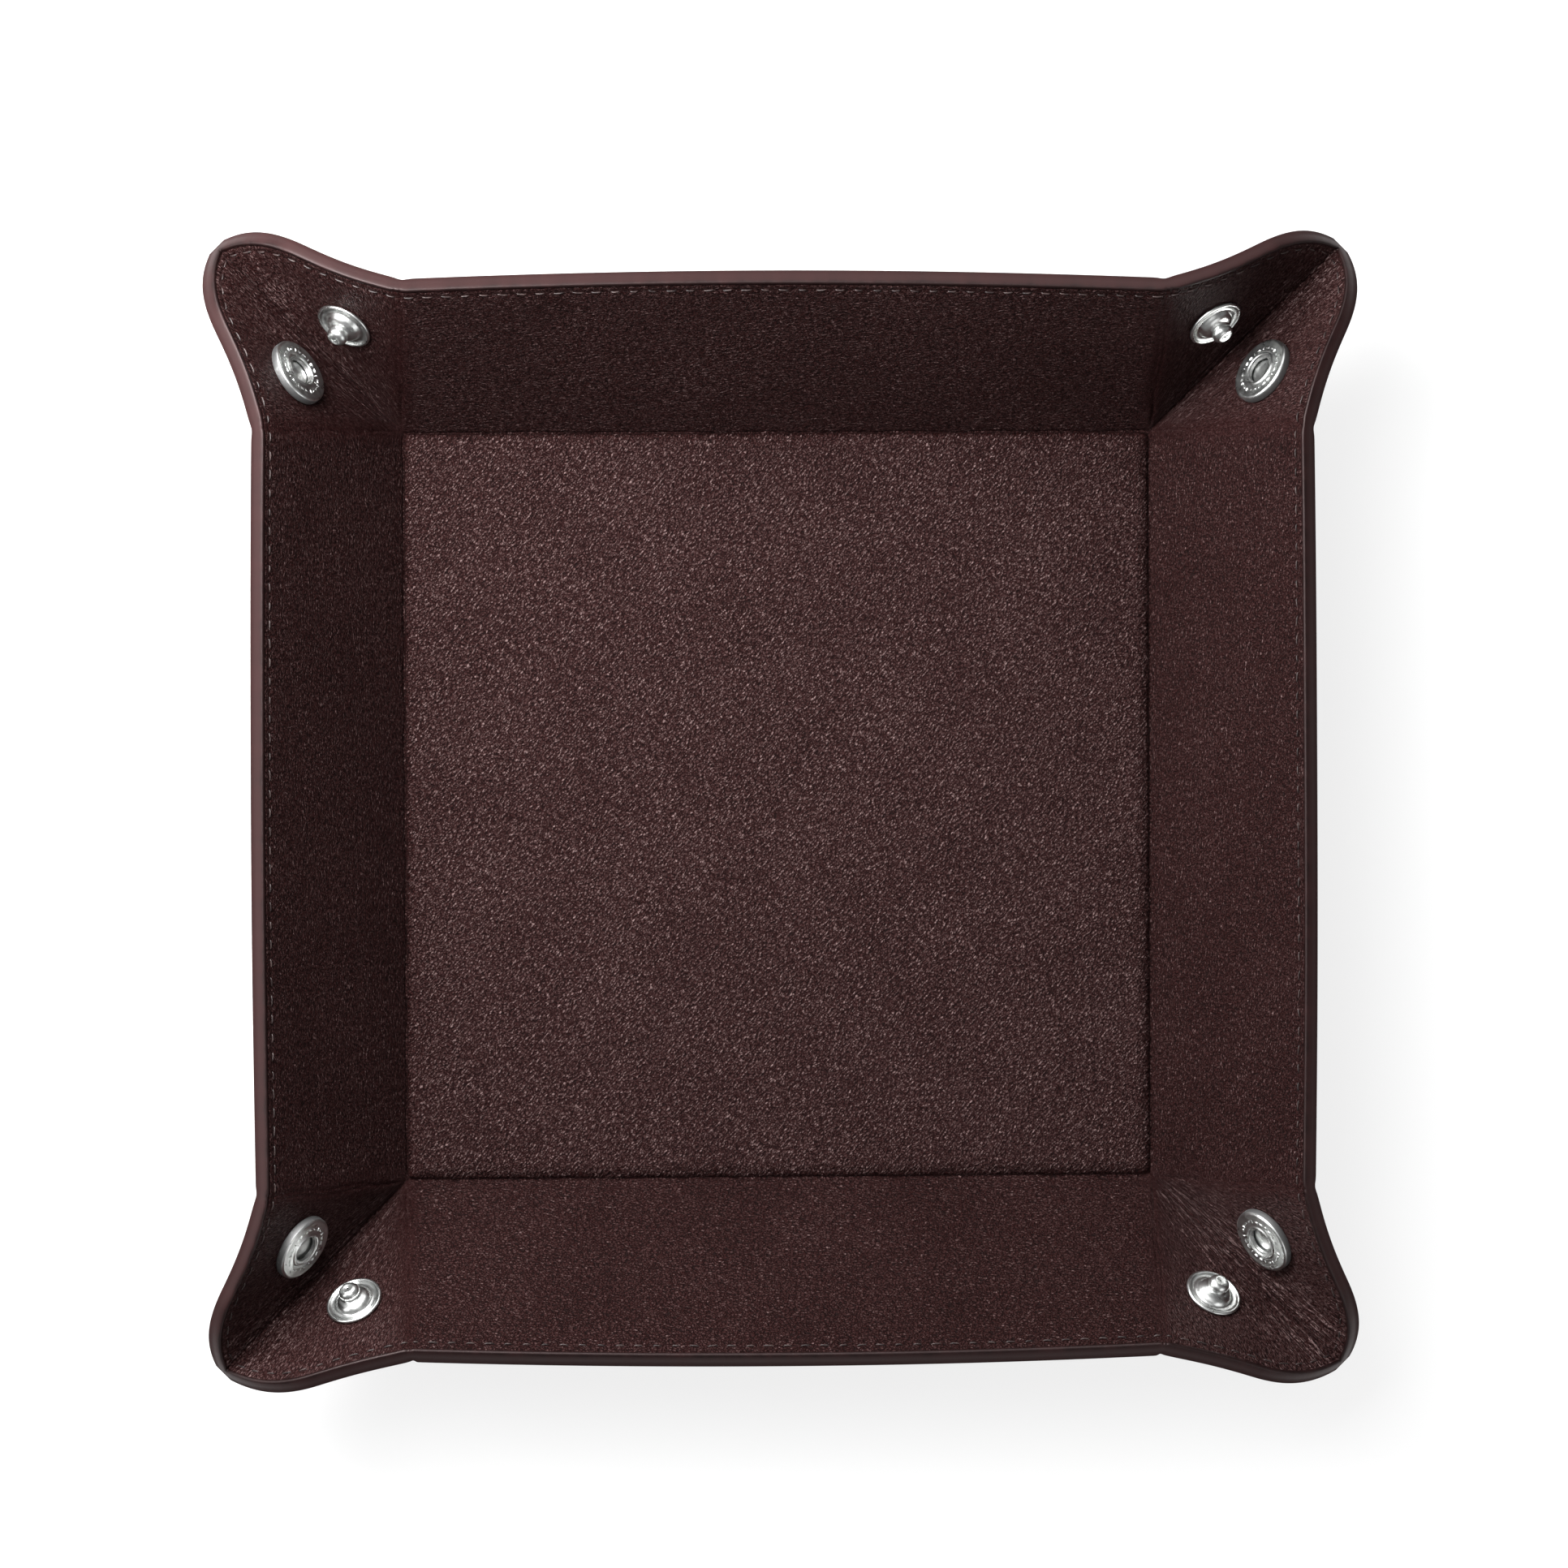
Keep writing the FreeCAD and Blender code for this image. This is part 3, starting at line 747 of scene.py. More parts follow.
def make_edge_paint():
    """The smooth rounded paint of the cut edge, dull on its outer half, with painted shade darkening it next
    to the inner face.
    """
    material, shader, add = new_material("edge_paint")
    on_wall = stored(add, "wall_grain", "Vector")
    depth = stored(add, "depth")
    ripple = noise(add, on_wall, 0.30, 3.0)
    relief = calculated(add, "MULTIPLY_ADD", noise(add, on_wall, 3.5, 2.0), 0.12, ripple)
    # Painted shade: the edge's colour darkens towards the inner face, along the line where the edge meets it.
    tone = calculated(add, "ADD", ripple, mapped(add, depth, 0.02, 0.30, -0.5, 0.0))
    glossy = mapped(add, ripple, 0.3, 0.7, 0.42, 0.50)
    set_inputs(shader, {
        "Base Color": ramped(add, tone, (0.0, (0.0050, 0.0013, 0.0013)), (0.3, (0.0130, 0.0033, 0.0033)),
                             (0.7, (0.0170, 0.0044, 0.0044))),
        "Roughness": blended(add, glossy, 1.0, mapped(add, depth, 0.45, 0.85)),
        "Normal": bumped(add, relief, 0.35, 0.25 * MM),
        "Specular IOR Level": 0.31,
        "Specular Tint": (1.0, 0.80, 0.79, 1)})
    return material


def make_thread():
    """Waxed brown thread, twisted from plies."""
    material, shader, add = new_material("thread")
    place = add("TexCoord").outputs["Object"]
    total = calculated(add, "ADD", noise(add, place, 2600.0, 2.0), noise(add, place, 420.0, 2.0))
    plies = calculated(add, "MULTIPLY", total, 0.5)
    set_inputs(shader, {
        "Base Color": ramped(add, plies, (0.42, (0.008, 0.003, 0.003)), (0.62, (0.046, 0.028, 0.026))),
        "Roughness": 0.46,
        "Normal": bumped(add, plies, 0.5, 0.08 * MM),
        "Specular IOR Level": 0.42})
    return material


def make_nickel():
    """Polished nickel plate with a faint haze, dull on a socket's flank and darkened there with painted
    shade.
    """
    material, shader, add = new_material("nickel")
    haze = noise(add, add("TexCoord").outputs["Object"], 700.0, 4.0)
    flank = stored(add, "flank")
    # Painted shade: the flank's colour is pulled down to the ramp's dark first stop.
    tone = calculated(add, "MULTIPLY_ADD", flank, -0.6, haze)
    set_inputs(shader, {
        "Base Color": ramped(add, tone, (0.0, (0.20, 0.20, 0.20)), (0.3, (0.56, 0.57, 0.56)),
                             (0.7, (0.66, 0.67, 0.66))),
        "Roughness": blended(add, mapped(add, haze, 0.3, 0.7, 0.26, 0.36), 0.6, flank),
        "Normal": bumped(add, haze, 0.06, 0.1 * MM),
        "Metallic": 1.0})
    return material


def make_steel():
    """Plain spring wire steel, brushed."""
    material, shader, add = new_material("spring_steel")
    drawn = noise(add, add("TexCoord").outputs["Object"], 1800.0, 3.0)
    set_inputs(shader, {
        "Base Color": ramped(add, drawn, (0.3, (0.36, 0.36, 0.36)), (0.7, (0.50, 0.50, 0.49))),
        "Roughness": mapped(add, drawn, 0.0, 1.0, 0.25, 0.5),
        "Metallic": 1.0})
    return material


def make_board():
    """Grey-brown fibre board."""
    material, shader, add = new_material("board")
    fibres = noise(add, add("TexCoord").outputs["Object"], 900.0, 5.0)
    set_inputs(shader, {
        "Base Color": ramped(add, fibres, (0.3, (0.12, 0.085, 0.055)), (0.7, (0.22, 0.165, 0.115))),
        "Roughness": 0.85,
        "Normal": bumped(add, fibres, 0.4, 0.1 * MM)})
    return material


LEATHER = make_leather()
EDGE_PAINT = make_edge_paint()
THREAD = make_thread()
NICKEL = make_nickel()
STEEL = make_steel()
BOARD = make_board()

# ---------------------------------------------------------------- the leather's pieces


def make_base():
    """The base panel, inside the band where the walls bend."""
    reach = HALF - BASE_BAND
    fine, plain = 0.3 * MM, 2.6 * MM
    shoulder = reach - 4 * MM
    line = steps((-reach, -shoulder, fine), (-shoulder, shoulder, plain), (shoulder, reach, fine))
    x, y = np.meshgrid(line, line, indexing="ij")
    turn = np.repeat([0, math.pi], len(line))
    x = np.concatenate([x, x[:, ::-1]], axis=1)
    y = np.concatenate([y, y[:, ::-1]], axis=1)
    piece = leather_piece("base_leather", x, y, turn, np.zeros(len(line)), np.ones(len(line)))
    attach(piece, "base")
    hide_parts("base_inner_leather", "base_outer_leather")


WALL_MIDDLE = 0.94          # share of a wall's length where its columns are further apart


def make_wall(wall):
    """A wall, from inside its crease to its rim, bending at the crease."""
    on_side = wall in SIDES
    sign = SIDES[wall] if on_side else ENDS[wall]
    lean = math.tan(STRIP_ANGLE) if on_side else 0
    reach = HALF + np.where(WALL_ROWS < 0, WALL_ROWS, -lean * np.minimum(WALL_ROWS, WALL - RIM_BAND))
    share = steps((-1, -WALL_MIDDLE, 0.005), (-WALL_MIDDLE, WALL_MIDDLE, 0.018), (WALL_MIDDLE, 1, 0.005))
    outward = sign * np.broadcast_to(HALF + WALL_ROWS, (len(share), len(WALL_ROWS)))
    along = np.outer(share, reach)
    ahead, aside = np.full(len(share), float(sign)), np.zeros(len(share))
    if on_side:
        x, y, turn = profile(outward, along, ahead, aside)
        piece = leather_piece(f"wall_{wall}_leather", x, y, turn, ahead, aside)
    else:
        x, y, turn = profile(along, outward, aside, ahead)
        piece = leather_piece(f"wall_{wall}_leather", x, y, turn, aside, ahead)
    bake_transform(piece)
    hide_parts(f"wall_{wall}_inner_leather", f"wall_{wall}_outer_leather")


def ear_outline(angle):
    """Where a ray from the base's corner meets the line RIM_BAND inside the rim, and the way out."""
    centre, radius = WALL - CORNER_RADIUS, CORNER_RADIUS - RIM_BAND
    cosine, sine = math.cos(angle), math.sin(angle)
    if sine > cosine:
        (u, v), (out_u, out_v) = ear_outline(math.pi / 2 - angle)
        return (v, u), (out_v, out_u)
    straight = WALL - RIM_BAND
    if straight * sine <= centre * cosine:
        return (straight, straight * sine / cosine), (1.0, 0.0)
    far = centre * (cosine + sine) + math.sqrt(radius ** 2 - (centre * (cosine - sine)) ** 2)
    u, v = far * cosine, far * sine
    return (u, v), ((u - centre) / radius, (v - centre) / radius)


def ear_profile(angles, corner):
    """The profile of part of an ear, in columns that fan out from the base's corner."""
    outline = [ear_outline(angle) for angle in angles]
    knee = np.array([point for point, _ in outline])
    out = np.array([way for _, way in outline])
    reached = np.minimum(EAR_ROWS / (WALL - RIM_BAND), 1)
    beyond = np.maximum(EAR_ROWS - (WALL - RIM_BAND), 0)
    u = np.outer(knee[:, 0], reached) + np.outer(out[:, 0], beyond)
    v = np.outer(knee[:, 1], reached) + np.outer(out[:, 1], beyond)
    sign_x, sign_y = corner.signs[:2]
    out_x, out_y = out[:, 0] * sign_x, out[:, 1] * sign_y
    x, y, turn = profile(sign_x * (HALF + u), sign_y * (HALF + v), out_x, out_y)
    return x, y, turn, out_x, out_y


def strip_hinge(corner):
    """The two ends of the stretch over which the leather bends at the socket half's crease."""
    flap_way = corner.ridge / DIAGONAL - corner.up_side
    way = unit(np.array([0, 1, 0]) + flap_way) * EAR_BAND
    return [tuple((ORIGIN + sign * way) * corner.signs) for sign in (-1, 1)]


def ridge_hinge(corner):
    """The same at the ear's own fold, from the socket half to the stud half."""
    from_socket = unit(corner.up_side - (corner.up_side @ corner.ridge) * corner.ridge)
    to_stud = unit(corner.up_end - (corner.up_end @ corner.ridge) * corner.ridge)
    way = unit(to_stud - from_socket)
    way = way * (to_stud @ way) * RIDGE_BAND
    return [tuple((ORIGIN + sign * way) * corner.signs) for sign in (-1, 1)]


def ear_parts(corner):
    """The two pieces of an ear, a strip over its crease with the side wall and the rest.

    Each has the start of its name, the two bodies either side of its crease, and its hinge.
    """
    name = corner.name
    socket_flap, stud_flap = f"socket_flap_{name}", f"stud_flap_{name}"
    return ((f"ear_crease_{name}", (f"wall_{corner.side}", socket_flap), strip_hinge(corner)),
            (f"ear_{name}", (socket_flap, stud_flap), ridge_hinge(corner)))


def bend_at(piece):
    """Bakes a piece's place into its points; it does not bend it."""
    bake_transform(piece)


STRIP_COLUMNS = 17          # columns of the strip over an ear's crease with the side wall
STRIP_GATHER = 1.4          # above 1, they gather at the crease
FLAP_COLUMNS = ((math.degrees(STRIP_ANGLE), 30, 1.1), (30, 60, 0.42), (60, 84, 1.1), (84, 90, 0.5))


def make_ear(corner):
    """The leather of an ear's two pieces."""
    spread = np.linspace(-1, 1, STRIP_COLUMNS)
    strip_angles = np.sign(spread) * np.abs(spread) ** STRIP_GATHER * STRIP_ANGLE
    flap_angles = np.radians(steps(*FLAP_COLUMNS))
    for (name, bodies, hinge), angles in zip(ear_parts(corner), (strip_angles, flap_angles)):
        piece = leather_piece(f"{name}_leather", *ear_profile(angles, corner), collapsed=True)
        bend_at(piece)
        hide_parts(f"{bodies[1]}_inner_leather", f"{bodies[1]}_outer_leather")


CORE_WIDTH = 2.2 * MM       # half the width of the leather left inside an open crease
CORE_DEPTH = 0.34           # and half its thickness, as a share of the sheet's
CORE_START = 1.5 * MM       # from the base's corner
CORE_END_INSET = 0.4 * MM   # inside the line where the painted edge begins
CORE_RINGS, CORE_SIDES = 40, 16


def make_crease_cores(corner):
    """Fills the crease beside the back or front wall, where two pieces of leather turn apart.

    Each one has a core inside the fold that reaches into the other, out of sight at rest.
    """
    along = np.linspace(CORE_START, RIM_LINE - CORE_END_INSET, CORE_RINGS)
    round_angle = np.linspace(0, 2 * math.pi, CORE_SIDES, endpoint=False)
    u, v = np.meshgrid(CORE_WIDTH * np.cos(round_angle), along)
    depth = np.broadcast_to(0.5 + CORE_DEPTH * np.sin(round_angle), u.shape)
    x, y = sheet_from_corner(corner)(u, v)
    points = surface(x, y, depth).reshape(-1, 3)
    faces = tube_faces(np.arange(u.size).reshape(u.shape))
    for body in (f"wall_{corner.end}", f"stud_flap_{corner.name}"):
        mesh = closed_mesh(f"crease_core_{corner.name}", points, faces)
        add_attributes(mesh, x.reshape(-1), y.reshape(-1), depth.reshape(-1))
        piece = in_scene(f"{body}_core_{corner.name}", mesh, LEATHER)
        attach(piece, body)


# ---------------------------------------------------------------- the seam

STITCH_HALF = 1.10 * MM     # half a stitch's length
STITCH_WIDTH = 0.14 * MM    # half the thread's width as it lies
STITCH_HEIGHT = 0.2 * MM    # and half its height
STITCH_RISE = 0.12 * MM     # how far its middle lies above the leather
STITCH_LEAN = 0.14 * MM     # how far its ends may stand off the seam's line
STITCH_REACH = (0.72, 1.08)     # shortest and longest, as a share of STITCH_HALF
STITCH_RINGS, STITCH_SIDES = 9, 8
WALL_STITCHES, EAR_STITCHES = 41, 22
SEAM_LINE = WALL - SEAM_INSET
SEAM_RADIUS = CORNER_RADIUS - SEAM_INSET
SEAM_STRAIGHT = WALL - CORNER_RADIUS
EAR_SEAM = 2 * SEAM_STRAIGHT + SEAM_RADIUS * math.pi / 2


def ear_seam_path(distance):
    """A point of an ear's seam and the way out from it, by distance from the side wall's crease."""
    turn = np.clip((distance - SEAM_STRAIGHT) / SEAM_RADIUS, 0, math.pi / 2)
    out_u, out_v = np.cos(turn), np.sin(turn)
    u = SEAM_STRAIGHT + SEAM_RADIUS * out_u - np.maximum(distance - SEAM_STRAIGHT
                                                         - SEAM_RADIUS * math.pi / 2, 0)
    v = np.minimum(distance, SEAM_STRAIGHT) + SEAM_RADIUS * out_v
    return u, v, out_u, out_v


def wall_seam_path(distance):
    """The same along a wall, by distance from its middle."""
    ones = np.ones(np.shape(distance))
    return SEAM_LINE * ones, distance - HALF, ones, 0 * ones


def stitch_piece(name, path, centres, to_sheet, jitter):
    """Stitches on both faces of the leather: each one rises out of its holes and lies along the seam."""
    run = np.linspace(-1, 1, STITCH_RINGS)
    lean = jitter.uniform(-STITCH_LEAN, STITCH_LEAN, len(centres))
    reach = STITCH_HALF * jitter.uniform(*STITCH_REACH, len(centres))
    distance = centres[:, None] + run * reach[:, None]
    u, v, out_u, out_v = path(distance)
    round_angle = np.linspace(0, 2 * math.pi, STITCH_SIDES, endpoint=False)
    taper = np.sqrt(np.clip(1.02 - run ** 4, 0, 1))[None, :, None]
    aside = (np.cos(round_angle) * STITCH_WIDTH * taper) + (lean[:, None] * run)[:, :, None]
    lift = STITCH_RISE * (1 - 2.4 * run ** 4)[None, :, None] + np.sin(round_angle) * STITCH_HEIGHT * taper
    u, v = u[:, :, None] + out_u[:, :, None] * aside, v[:, :, None] + out_v[:, :, None] * aside
    x, y = to_sheet(u, v)
    rise = normals_of(folded, x, y) * lift[..., None]
    parts = [(surface(x, y, np.full(x.shape, depth)) + facing * rise).reshape(-1, 3)
             for depth, facing in ((0.0, 1), (1.0, -1))]
    rings = np.arange(2 * x.size).reshape(-1, STITCH_RINGS, STITCH_SIDES)
    faces = [face for stitch in rings for face in tube_faces(stitch)]
    piece = in_scene(name, closed_mesh(name, np.concatenate(parts), faces), THREAD)
    return piece


def evenly(length, count):
    """The middles of count equal spans of a length."""
    return (np.arange(count) + 0.5) * length / count


def sheet_from_corner(corner):
    """Turns a corner's own (u, v) into the flat sheet's x, y."""
    return lambda u, v: (corner.signs[0] * (HALF + u), corner.signs[1] * (HALF + v))


def wall_sheet(wall):
    """Turns a wall's (outward, distance past its end) into the flat sheet's x, y."""
    if wall in SIDES:
        return lambda u, v: (SIDES[wall] * (HALF + u), HALF + v)
    return lambda u, v: (HALF + v, ENDS[wall] * (HALF + u))


def make_seams():
    """The seam round the whole edge, in one piece of stitches for each piece of leather."""
    jitter = np.random.default_rng(SEED + 2)
    strip_reach = math.tan(STRIP_ANGLE) * (WALL - RIM_BAND)
    for wall in [*SIDES, *ENDS]:
        centres = evenly(2 * HALF, WALL_STITCHES) - HALF
        if wall in SIDES:
            centres = centres[np.abs(centres) < HALF - strip_reach]
        piece = stitch_piece(f"wall_{wall}_stitches", wall_seam_path, centres, wall_sheet(wall), jitter)
        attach(piece, f"wall_{wall}")
        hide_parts(f"wall_{wall}_seam")
    wall_part = evenly(2 * HALF, WALL_STITCHES) - 2 * HALF
    ear_part = evenly(EAR_SEAM, EAR_STITCHES)
    strip_part = np.concatenate([wall_part[wall_part >= -strip_reach], ear_part[ear_part < strip_reach]])
    flap_part = ear_part[ear_part >= strip_reach]
    for corner in CORNERS:
        to_sheet = sheet_from_corner(corner)
        for (name, bodies, hinge), centres in zip(ear_parts(corner), (strip_part, flap_part)):
            piece = stitch_piece(f"{name}_stitches", ear_seam_path, centres, to_sheet, jitter)
            bend_at(piece)
            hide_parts(f"{bodies[1]}_seam")


# ---------------------------------------------------------------- the snaps

TURNED_SEGMENTS = 72
TURNED_SHARP = math.radians(38)
FLANK_RADIUS = 6.2 * MM     # a socket's flank, which is dull and darkened with painted shade, is outside this radius
FLANK_HEIGHT = 1.4 * MM
SEAT_REACH = 4 * MM         # a snap lies as the leather does over this distance


def arc(centre_radius, centre_height, radius, first, last, count=6):
    """Profile points on an arc, by its angles in degrees."""
    angles = np.radians(np.linspace(first, last, count))
    return [(centre_radius + radius * math.cos(a), centre_height + radius * math.sin(a)) for a in angles]


def socket_profile():
    """The shell with a rounded rim, a flat ring, a rolled lip round its mouth and a hollow below."""
    return [(1.75, 0.0), *arc(6.25, 0.25, 0.25, -90, 0, 4), *arc(5.90, 1.16, 0.58, 8, 100, 10),
            (5.55, 1.71), (5.30, 1.69), (3.75, 1.68),
            *arc(3.22, 1.62, 0.30, 40, 180, 10), (2.92, 1.30), (4.4, 1.30), (4.4, 0.5), (1.75, 0.5)]


def rivet_profile():
    """The cap's barrel, closed by a shallow head inside the socket's mouth."""
    return [(0.0, -2.8), (1.7, -2.8), (1.7, 0.5), (2.45, 0.5), *arc(2.3, 0.62, 0.16, -40, 95, 6),
            (1.7, 0.70), (0.8, 0.60), (0.0, 0.58)]


def cap_profile():
    """The domed button on the outer face, counted down from that face."""
    ball = (6.2 ** 2 + 1.5 ** 2) / (2 * 1.5)
    spread = math.degrees(math.asin(5.9 / ball))
    dome = arc(0, 2.0 - ball, ball, 90 - spread, 90, 12)
    return [(0.0, 0.0), (5.9, 0.0), *arc(5.95, 0.27, 0.25, -80, 60, 6), *dome]


def stud_profile():
    """The dished disc with a rolled edge, a cone, a neck and a round head with a dimple."""
    return [(1.5, 0.05), (4.9, 0.02), *arc(5.12, 0.45, 0.38, -90, 140, 12), (4.60, 0.52), (4.25, 0.42),
            (3.80, 0.43), (3.55, 0.58), (3.42, 0.85), (3.25, 1.15), (2.98, 1.44), (2.60, 1.68), (2.22, 1.84),
            (1.86, 2.00), (1.72, 2.20), *arc(0.82, 3.00, 1.22, -36, 82, 14), (0.80, 4.16), (0.50, 4.12),
            (0.30, 4.06), (0.0, 4.04)]


def post_profile():
    """The flat flange on the outer face, open in the middle, counted down from that face."""
    return [(0.9, 0.0), (4.8, 0.0), *arc(4.75, 0.37, 0.3, -60, 75, 6), (2.2, 0.72),
            *arc(1.25, 0.42, 0.3, 75, 180, 5)]


def snap_piece(name, mesh, sharp_angle):
    """A nickel piece whose edges are sharp above that angle."""
    mesh.set_sharp_from_angle(angle=sharp_angle)
    piece = in_scene(name, mesh, NICKEL)
    return piece


def turned_piece(name, profile_points, place, axes, is_closed=True):
    """A piece turned about the third axis from millimetre (radius, height) points."""
    angles = np.linspace(0, 2 * math.pi, TURNED_SEGMENTS, endpoint=False)
    radii, heights = np.array(profile_points).T * MM
    local = np.stack([np.outer(np.cos(angles), radii), np.outer(np.sin(angles), radii),
                      np.broadcast_to(heights, (TURNED_SEGMENTS, len(heights)))], axis=-1)
    points = (local.reshape(-1, 3) @ axes) + place
    index = np.arange(len(points)).reshape(TURNED_SEGMENTS, len(radii))
    index[:, radii == 0] = index[0, radii == 0]
    if is_closed:
        index = np.concatenate([index, index[:, :1]], axis=1)
    beside = np.roll(index, -1, axis=0)
    quads = np.stack([index[:, :-1], beside[:, :-1], beside[:, 1:], index[:, 1:]], axis=-1).reshape(-1, 4)
    used, quads = np.unique(quads, return_inverse=True)
    faces = [list(dict.fromkeys(quad)) for quad in quads.reshape(-1, 4).tolist()]
    mesh = closed_mesh(name, points[used], [face for face in faces if len(face) > 2])
    flank = np.tile((radii > FLANK_RADIUS) & (heights < FLANK_HEIGHT), TURNED_SEGMENTS)[used]
    mesh.attributes.new("flank", "FLOAT", "POINT").data.foreach_set("value", flank.astype(np.float32))
    return snap_piece(name, mesh, TURNED_SHARP)


def on_ear(corner, place, outer=False, sunk=0.0):
    """A point on an ear's face, a little sunk in it, with axes there, the third one off the face."""
    x = np.array([corner.signs[0] * (HALF + place[0])])
    y = np.array([corner.signs[1] * (HALF + place[1])])
    up = normals_of(leaned, x, y, reach=SEAT_REACH)[0] * (-1 if outer else 1)
    point = surface(x, y, np.array([1.0 if outer else 0.0]))[0] - up * sunk
    first = unit(np.cross(up, [0, 0, 1]))
    return point, np.array([first, np.cross(up, first), up])


SOCKET_SUNK = 0.06 * MM     # how far a socket's foot is sunk below the pressed leather
MARK_RING = 4.55 * MM       # radius of the ring of plain marks stamped on a socket
MARK_FOOT = 1.685 * MM      # height of the ring's face
MARK_RISE = 0.14 * MM
MARK_COUNT = 24
MARK_SHARP = math.radians(50)
DASH = (0.10, 0.20 * MM)    # half its angle, and half its width
DOT = (0.035, 0.34 * MM)
MARK_PATTERN = (DASH, DASH, DOT, DASH, DOT, DASH, DASH, DOT)
MARK_OUTLINE = np.array([(-1, -0.6), (-1, 0.6), (-0.7, 1), (0.7, 1), (1, 0.6), (1, -0.6), (0.7, -1),
                         (-0.7, -1)])
MARK_LEVELS = ((-0.02 * MM, 1.0), (0.6 * MARK_RISE, 0.95), (MARK_RISE, 0.6))


def socket_marks(name, place, axes):
    """A ring of plain raised dashes and dots, with no letters in it."""
    points = []
    for number in range(MARK_COUNT):
        half_angle, half_width = MARK_PATTERN[number % len(MARK_PATTERN)]
        for rise, shrink in MARK_LEVELS:
            angle = 2 * math.pi * number / MARK_COUNT + half_angle * MARK_OUTLINE[:, 0] * shrink
            radius = MARK_RING + half_width * MARK_OUTLINE[:, 1] * shrink
            height_there = np.full(len(angle), MARK_FOOT + rise)
            points.append(np.stack([radius * np.cos(angle), radius * np.sin(angle), height_there], axis=-1))
    points = np.concatenate(points)
    rings = np.arange(len(points)).reshape(MARK_COUNT, len(MARK_LEVELS), len(MARK_OUTLINE))
    faces = [face for mark in rings for face in tube_faces(mark)]
    mesh = closed_mesh(name, points @ axes + place, faces)
    return snap_piece(name, mesh, MARK_SHARP)


def make_snaps(corner):
    """An ear's socket, rivet and cap on one half, and its stud and post on the other."""
    name = corner.name
    inner = on_ear(corner, SOCKET_PLACE[name], sunk=SOCKET_SUNK)
    outer = on_ear(corner, SOCKET_PLACE[name], outer=True)
    for piece_name, points, (place, axes), stands_for in (
            ("socket", socket_profile(), inner, [f"snap_socket_{name}"]),
            ("rivet", rivet_profile(), inner, []),
            ("cap", cap_profile(), outer, [f"snap_cap_{name}"])):
        is_closed = piece_name != "cap"
        piece = turned_piece(f"snap_{piece_name}_{name}_turned", points, place, axes, is_closed)
        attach(piece, f"socket_flap_{name}")
        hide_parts(*stands_for)
    marks = socket_marks(f"snap_socket_{name}_marks", *inner)
    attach(marks, f"socket_flap_{name}")
    inner = on_ear(corner, STUD_PLACE[name])
    outer = on_ear(corner, STUD_PLACE[name], outer=True)
    for piece_name, points, (place, axes) in (("stud", stud_profile(), inner),
                                              ("post", post_profile(), outer)):
        piece = turned_piece(f"snap_{piece_name}_{name}_turned", points, place, axes)
        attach(piece, f"stud_flap_{name}")
        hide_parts(f"snap_{piece_name}_{name}")


# ---------------------------------------------------------------- the frame's own nodes that show

def dress_frame():
    """The frame's nodes that stay in view take a finish of their own."""
    for name, material, slot in (("base_board", BOARD, "board"),
                                 *((f"snap_spring_{c.name}", STEEL, "spring_steel") for c in CORNERS)):
        node = frame["nodes"][name]
        node.data.materials.clear()
        node.data.materials.append(material)


# ---------------------------------------------------------------- floor, light and camera

FLOOR_REACH = 3.0
FLOOR_DROP = 0.08 * MM      # below the leather, so that the two faces don't meet
LIGHTS = [("key", (-0.30, 0.33, 0.78), 0.40, 4.6),          # name, place, width and power
          ("near_key", (-0.18, 0.18, 0.24), 0.22, 3.4),
          ("overhead", (0, 0, 1.35), 0.90, 1.6),
          ("low_left", (-0.85, 0, 0.38), 0.60, 3.2),
          ("low_back", (0, 0.85, 0.38), 0.60, 2.4),
          ("front_fill", (0.55, -0.60, 0.55), 0.60, 1.9)]
ROOM_LIGHT = 0.22
VIEW_DISTANCE = 1.2
VIEW_WIDTH = 0.3019         # seen across at the crease's height
VIEW_TILT = (math.radians(-2.4), math.radians(1.4))    # the camera's lean to the right and back
VIEW_ROLL = -0.005
VIEW_TARGET = (1.1 * MM, 4.1 * MM, 1.8 * MM)
SENSOR = 36.0


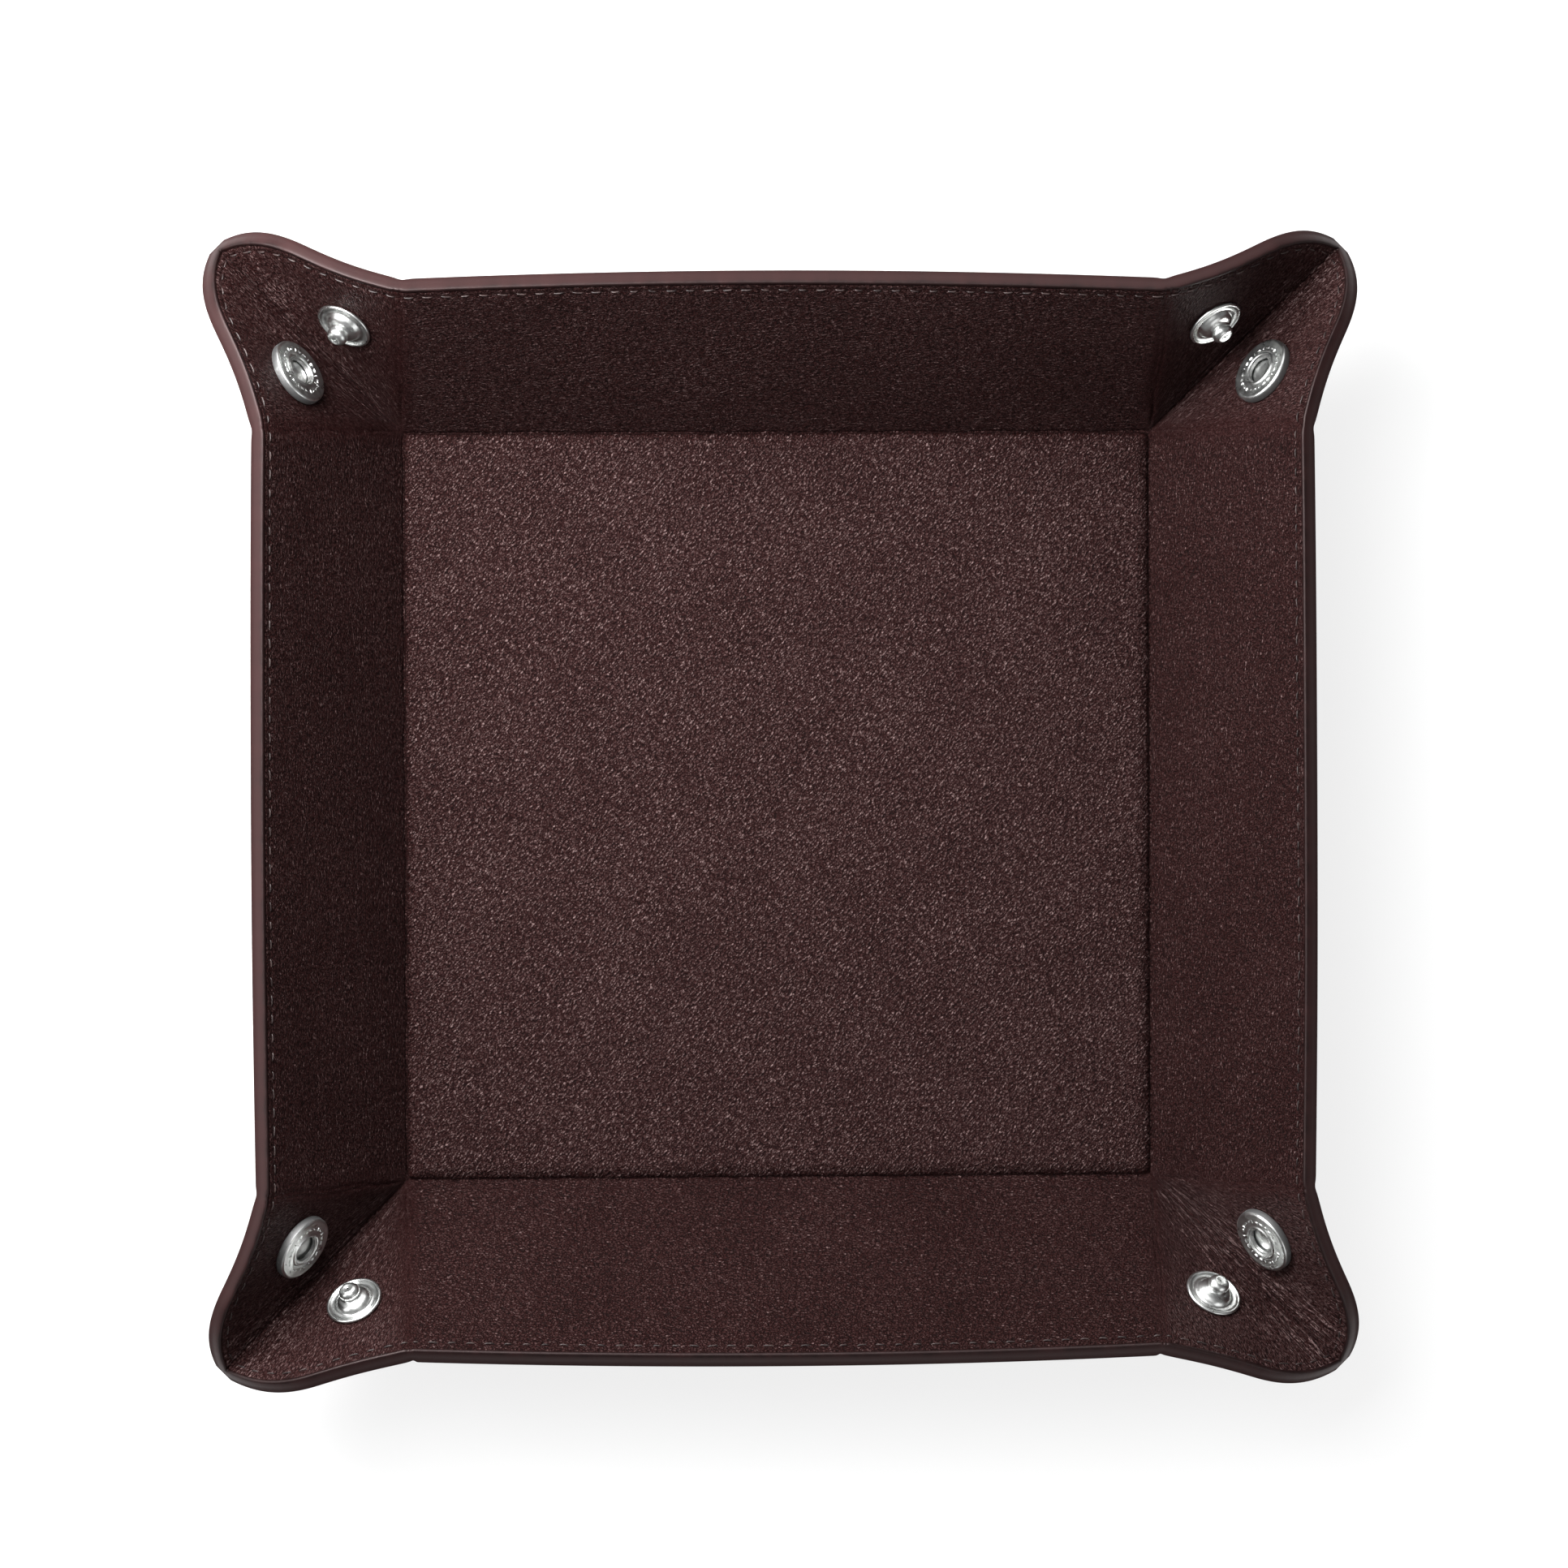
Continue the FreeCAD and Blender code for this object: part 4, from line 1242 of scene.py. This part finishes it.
def make_floor():
    """A plain white floor that glows a little, so that its shadows stay pale."""
    corners = [(sign_x * FLOOR_REACH, sign_y * FLOOR_REACH, -FLOOR_DROP)
               for sign_x, sign_y in ((-1, -1), (1, -1), (1, 1), (-1, 1))]
    mesh = bpy.data.meshes.new("floor")
    mesh.from_pydata(corners, [], [(0, 1, 2, 3)])
    material, shader, _ = new_material("floor")
    set_inputs(shader, {"Base Color": (0.30, 0.30, 0.30, 1), "Roughness": 0.9, "Specular IOR Level": 0.1,
                        "Emission Color": (1, 1, 1, 1), "Emission Strength": 0.74})
    floor = in_scene("floor", mesh, material)


def add_light(name, place, size, power):
    """A square soft light that faces the middle of the tray."""
    data = bpy.data.lights.new(name, "AREA")
    data.size = size
    data.energy = power
    light = in_scene(name, data)
    light.location = place
    light.rotation_mode = "QUATERNION"
    light.rotation_quaternion = (Vector() - Vector(place)).to_track_quat("-Z", "Y")


def make_light():
    """Soft lights at the back left, a panel overhead, two low ones for the rims, and a weak fill."""
    for light in LIGHTS:
        add_light(*light)
    world = bpy.data.worlds.new("room")
    world.use_nodes = True
    set_inputs(world.node_tree.nodes["Background"], {"Color": (1, 1, 1, 1), "Strength": ROOM_LIGHT})
    bpy.context.scene.world = world
    bpy.context.scene.view_settings.view_transform = "Standard"


def make_camera():
    """The camera above the tray, a little to the right of it and behind it."""
    away = Vector((math.sin(VIEW_TILT[0]), math.sin(VIEW_TILT[1]), 1)).normalized()
    right = Vector((math.cos(VIEW_ROLL), math.sin(VIEW_ROLL), 0))
    right = (right - right.dot(away) * away).normalized()
    up = away.cross(right)
    data = bpy.data.cameras.new("camera")
    data.sensor_width = SENSOR
    data.lens = SENSOR * VIEW_DISTANCE / VIEW_WIDTH
    data.clip_start = 0.01
    camera = in_scene("camera", data)
    turn = Matrix((right, up, away)).transposed().to_4x4()
    camera.matrix_world = Matrix.Translation(Vector(VIEW_TARGET) + VIEW_DISTANCE * away) @ turn
    bpy.context.scene.camera = camera


make_base()
for wall_name in [*SIDES, *ENDS]:
    make_wall(wall_name)
for ear_corner in CORNERS:
    make_ear(ear_corner)
    make_crease_cores(ear_corner)
    make_snaps(ear_corner)
make_seams()
dress_frame()
make_floor()
make_light()
make_camera()
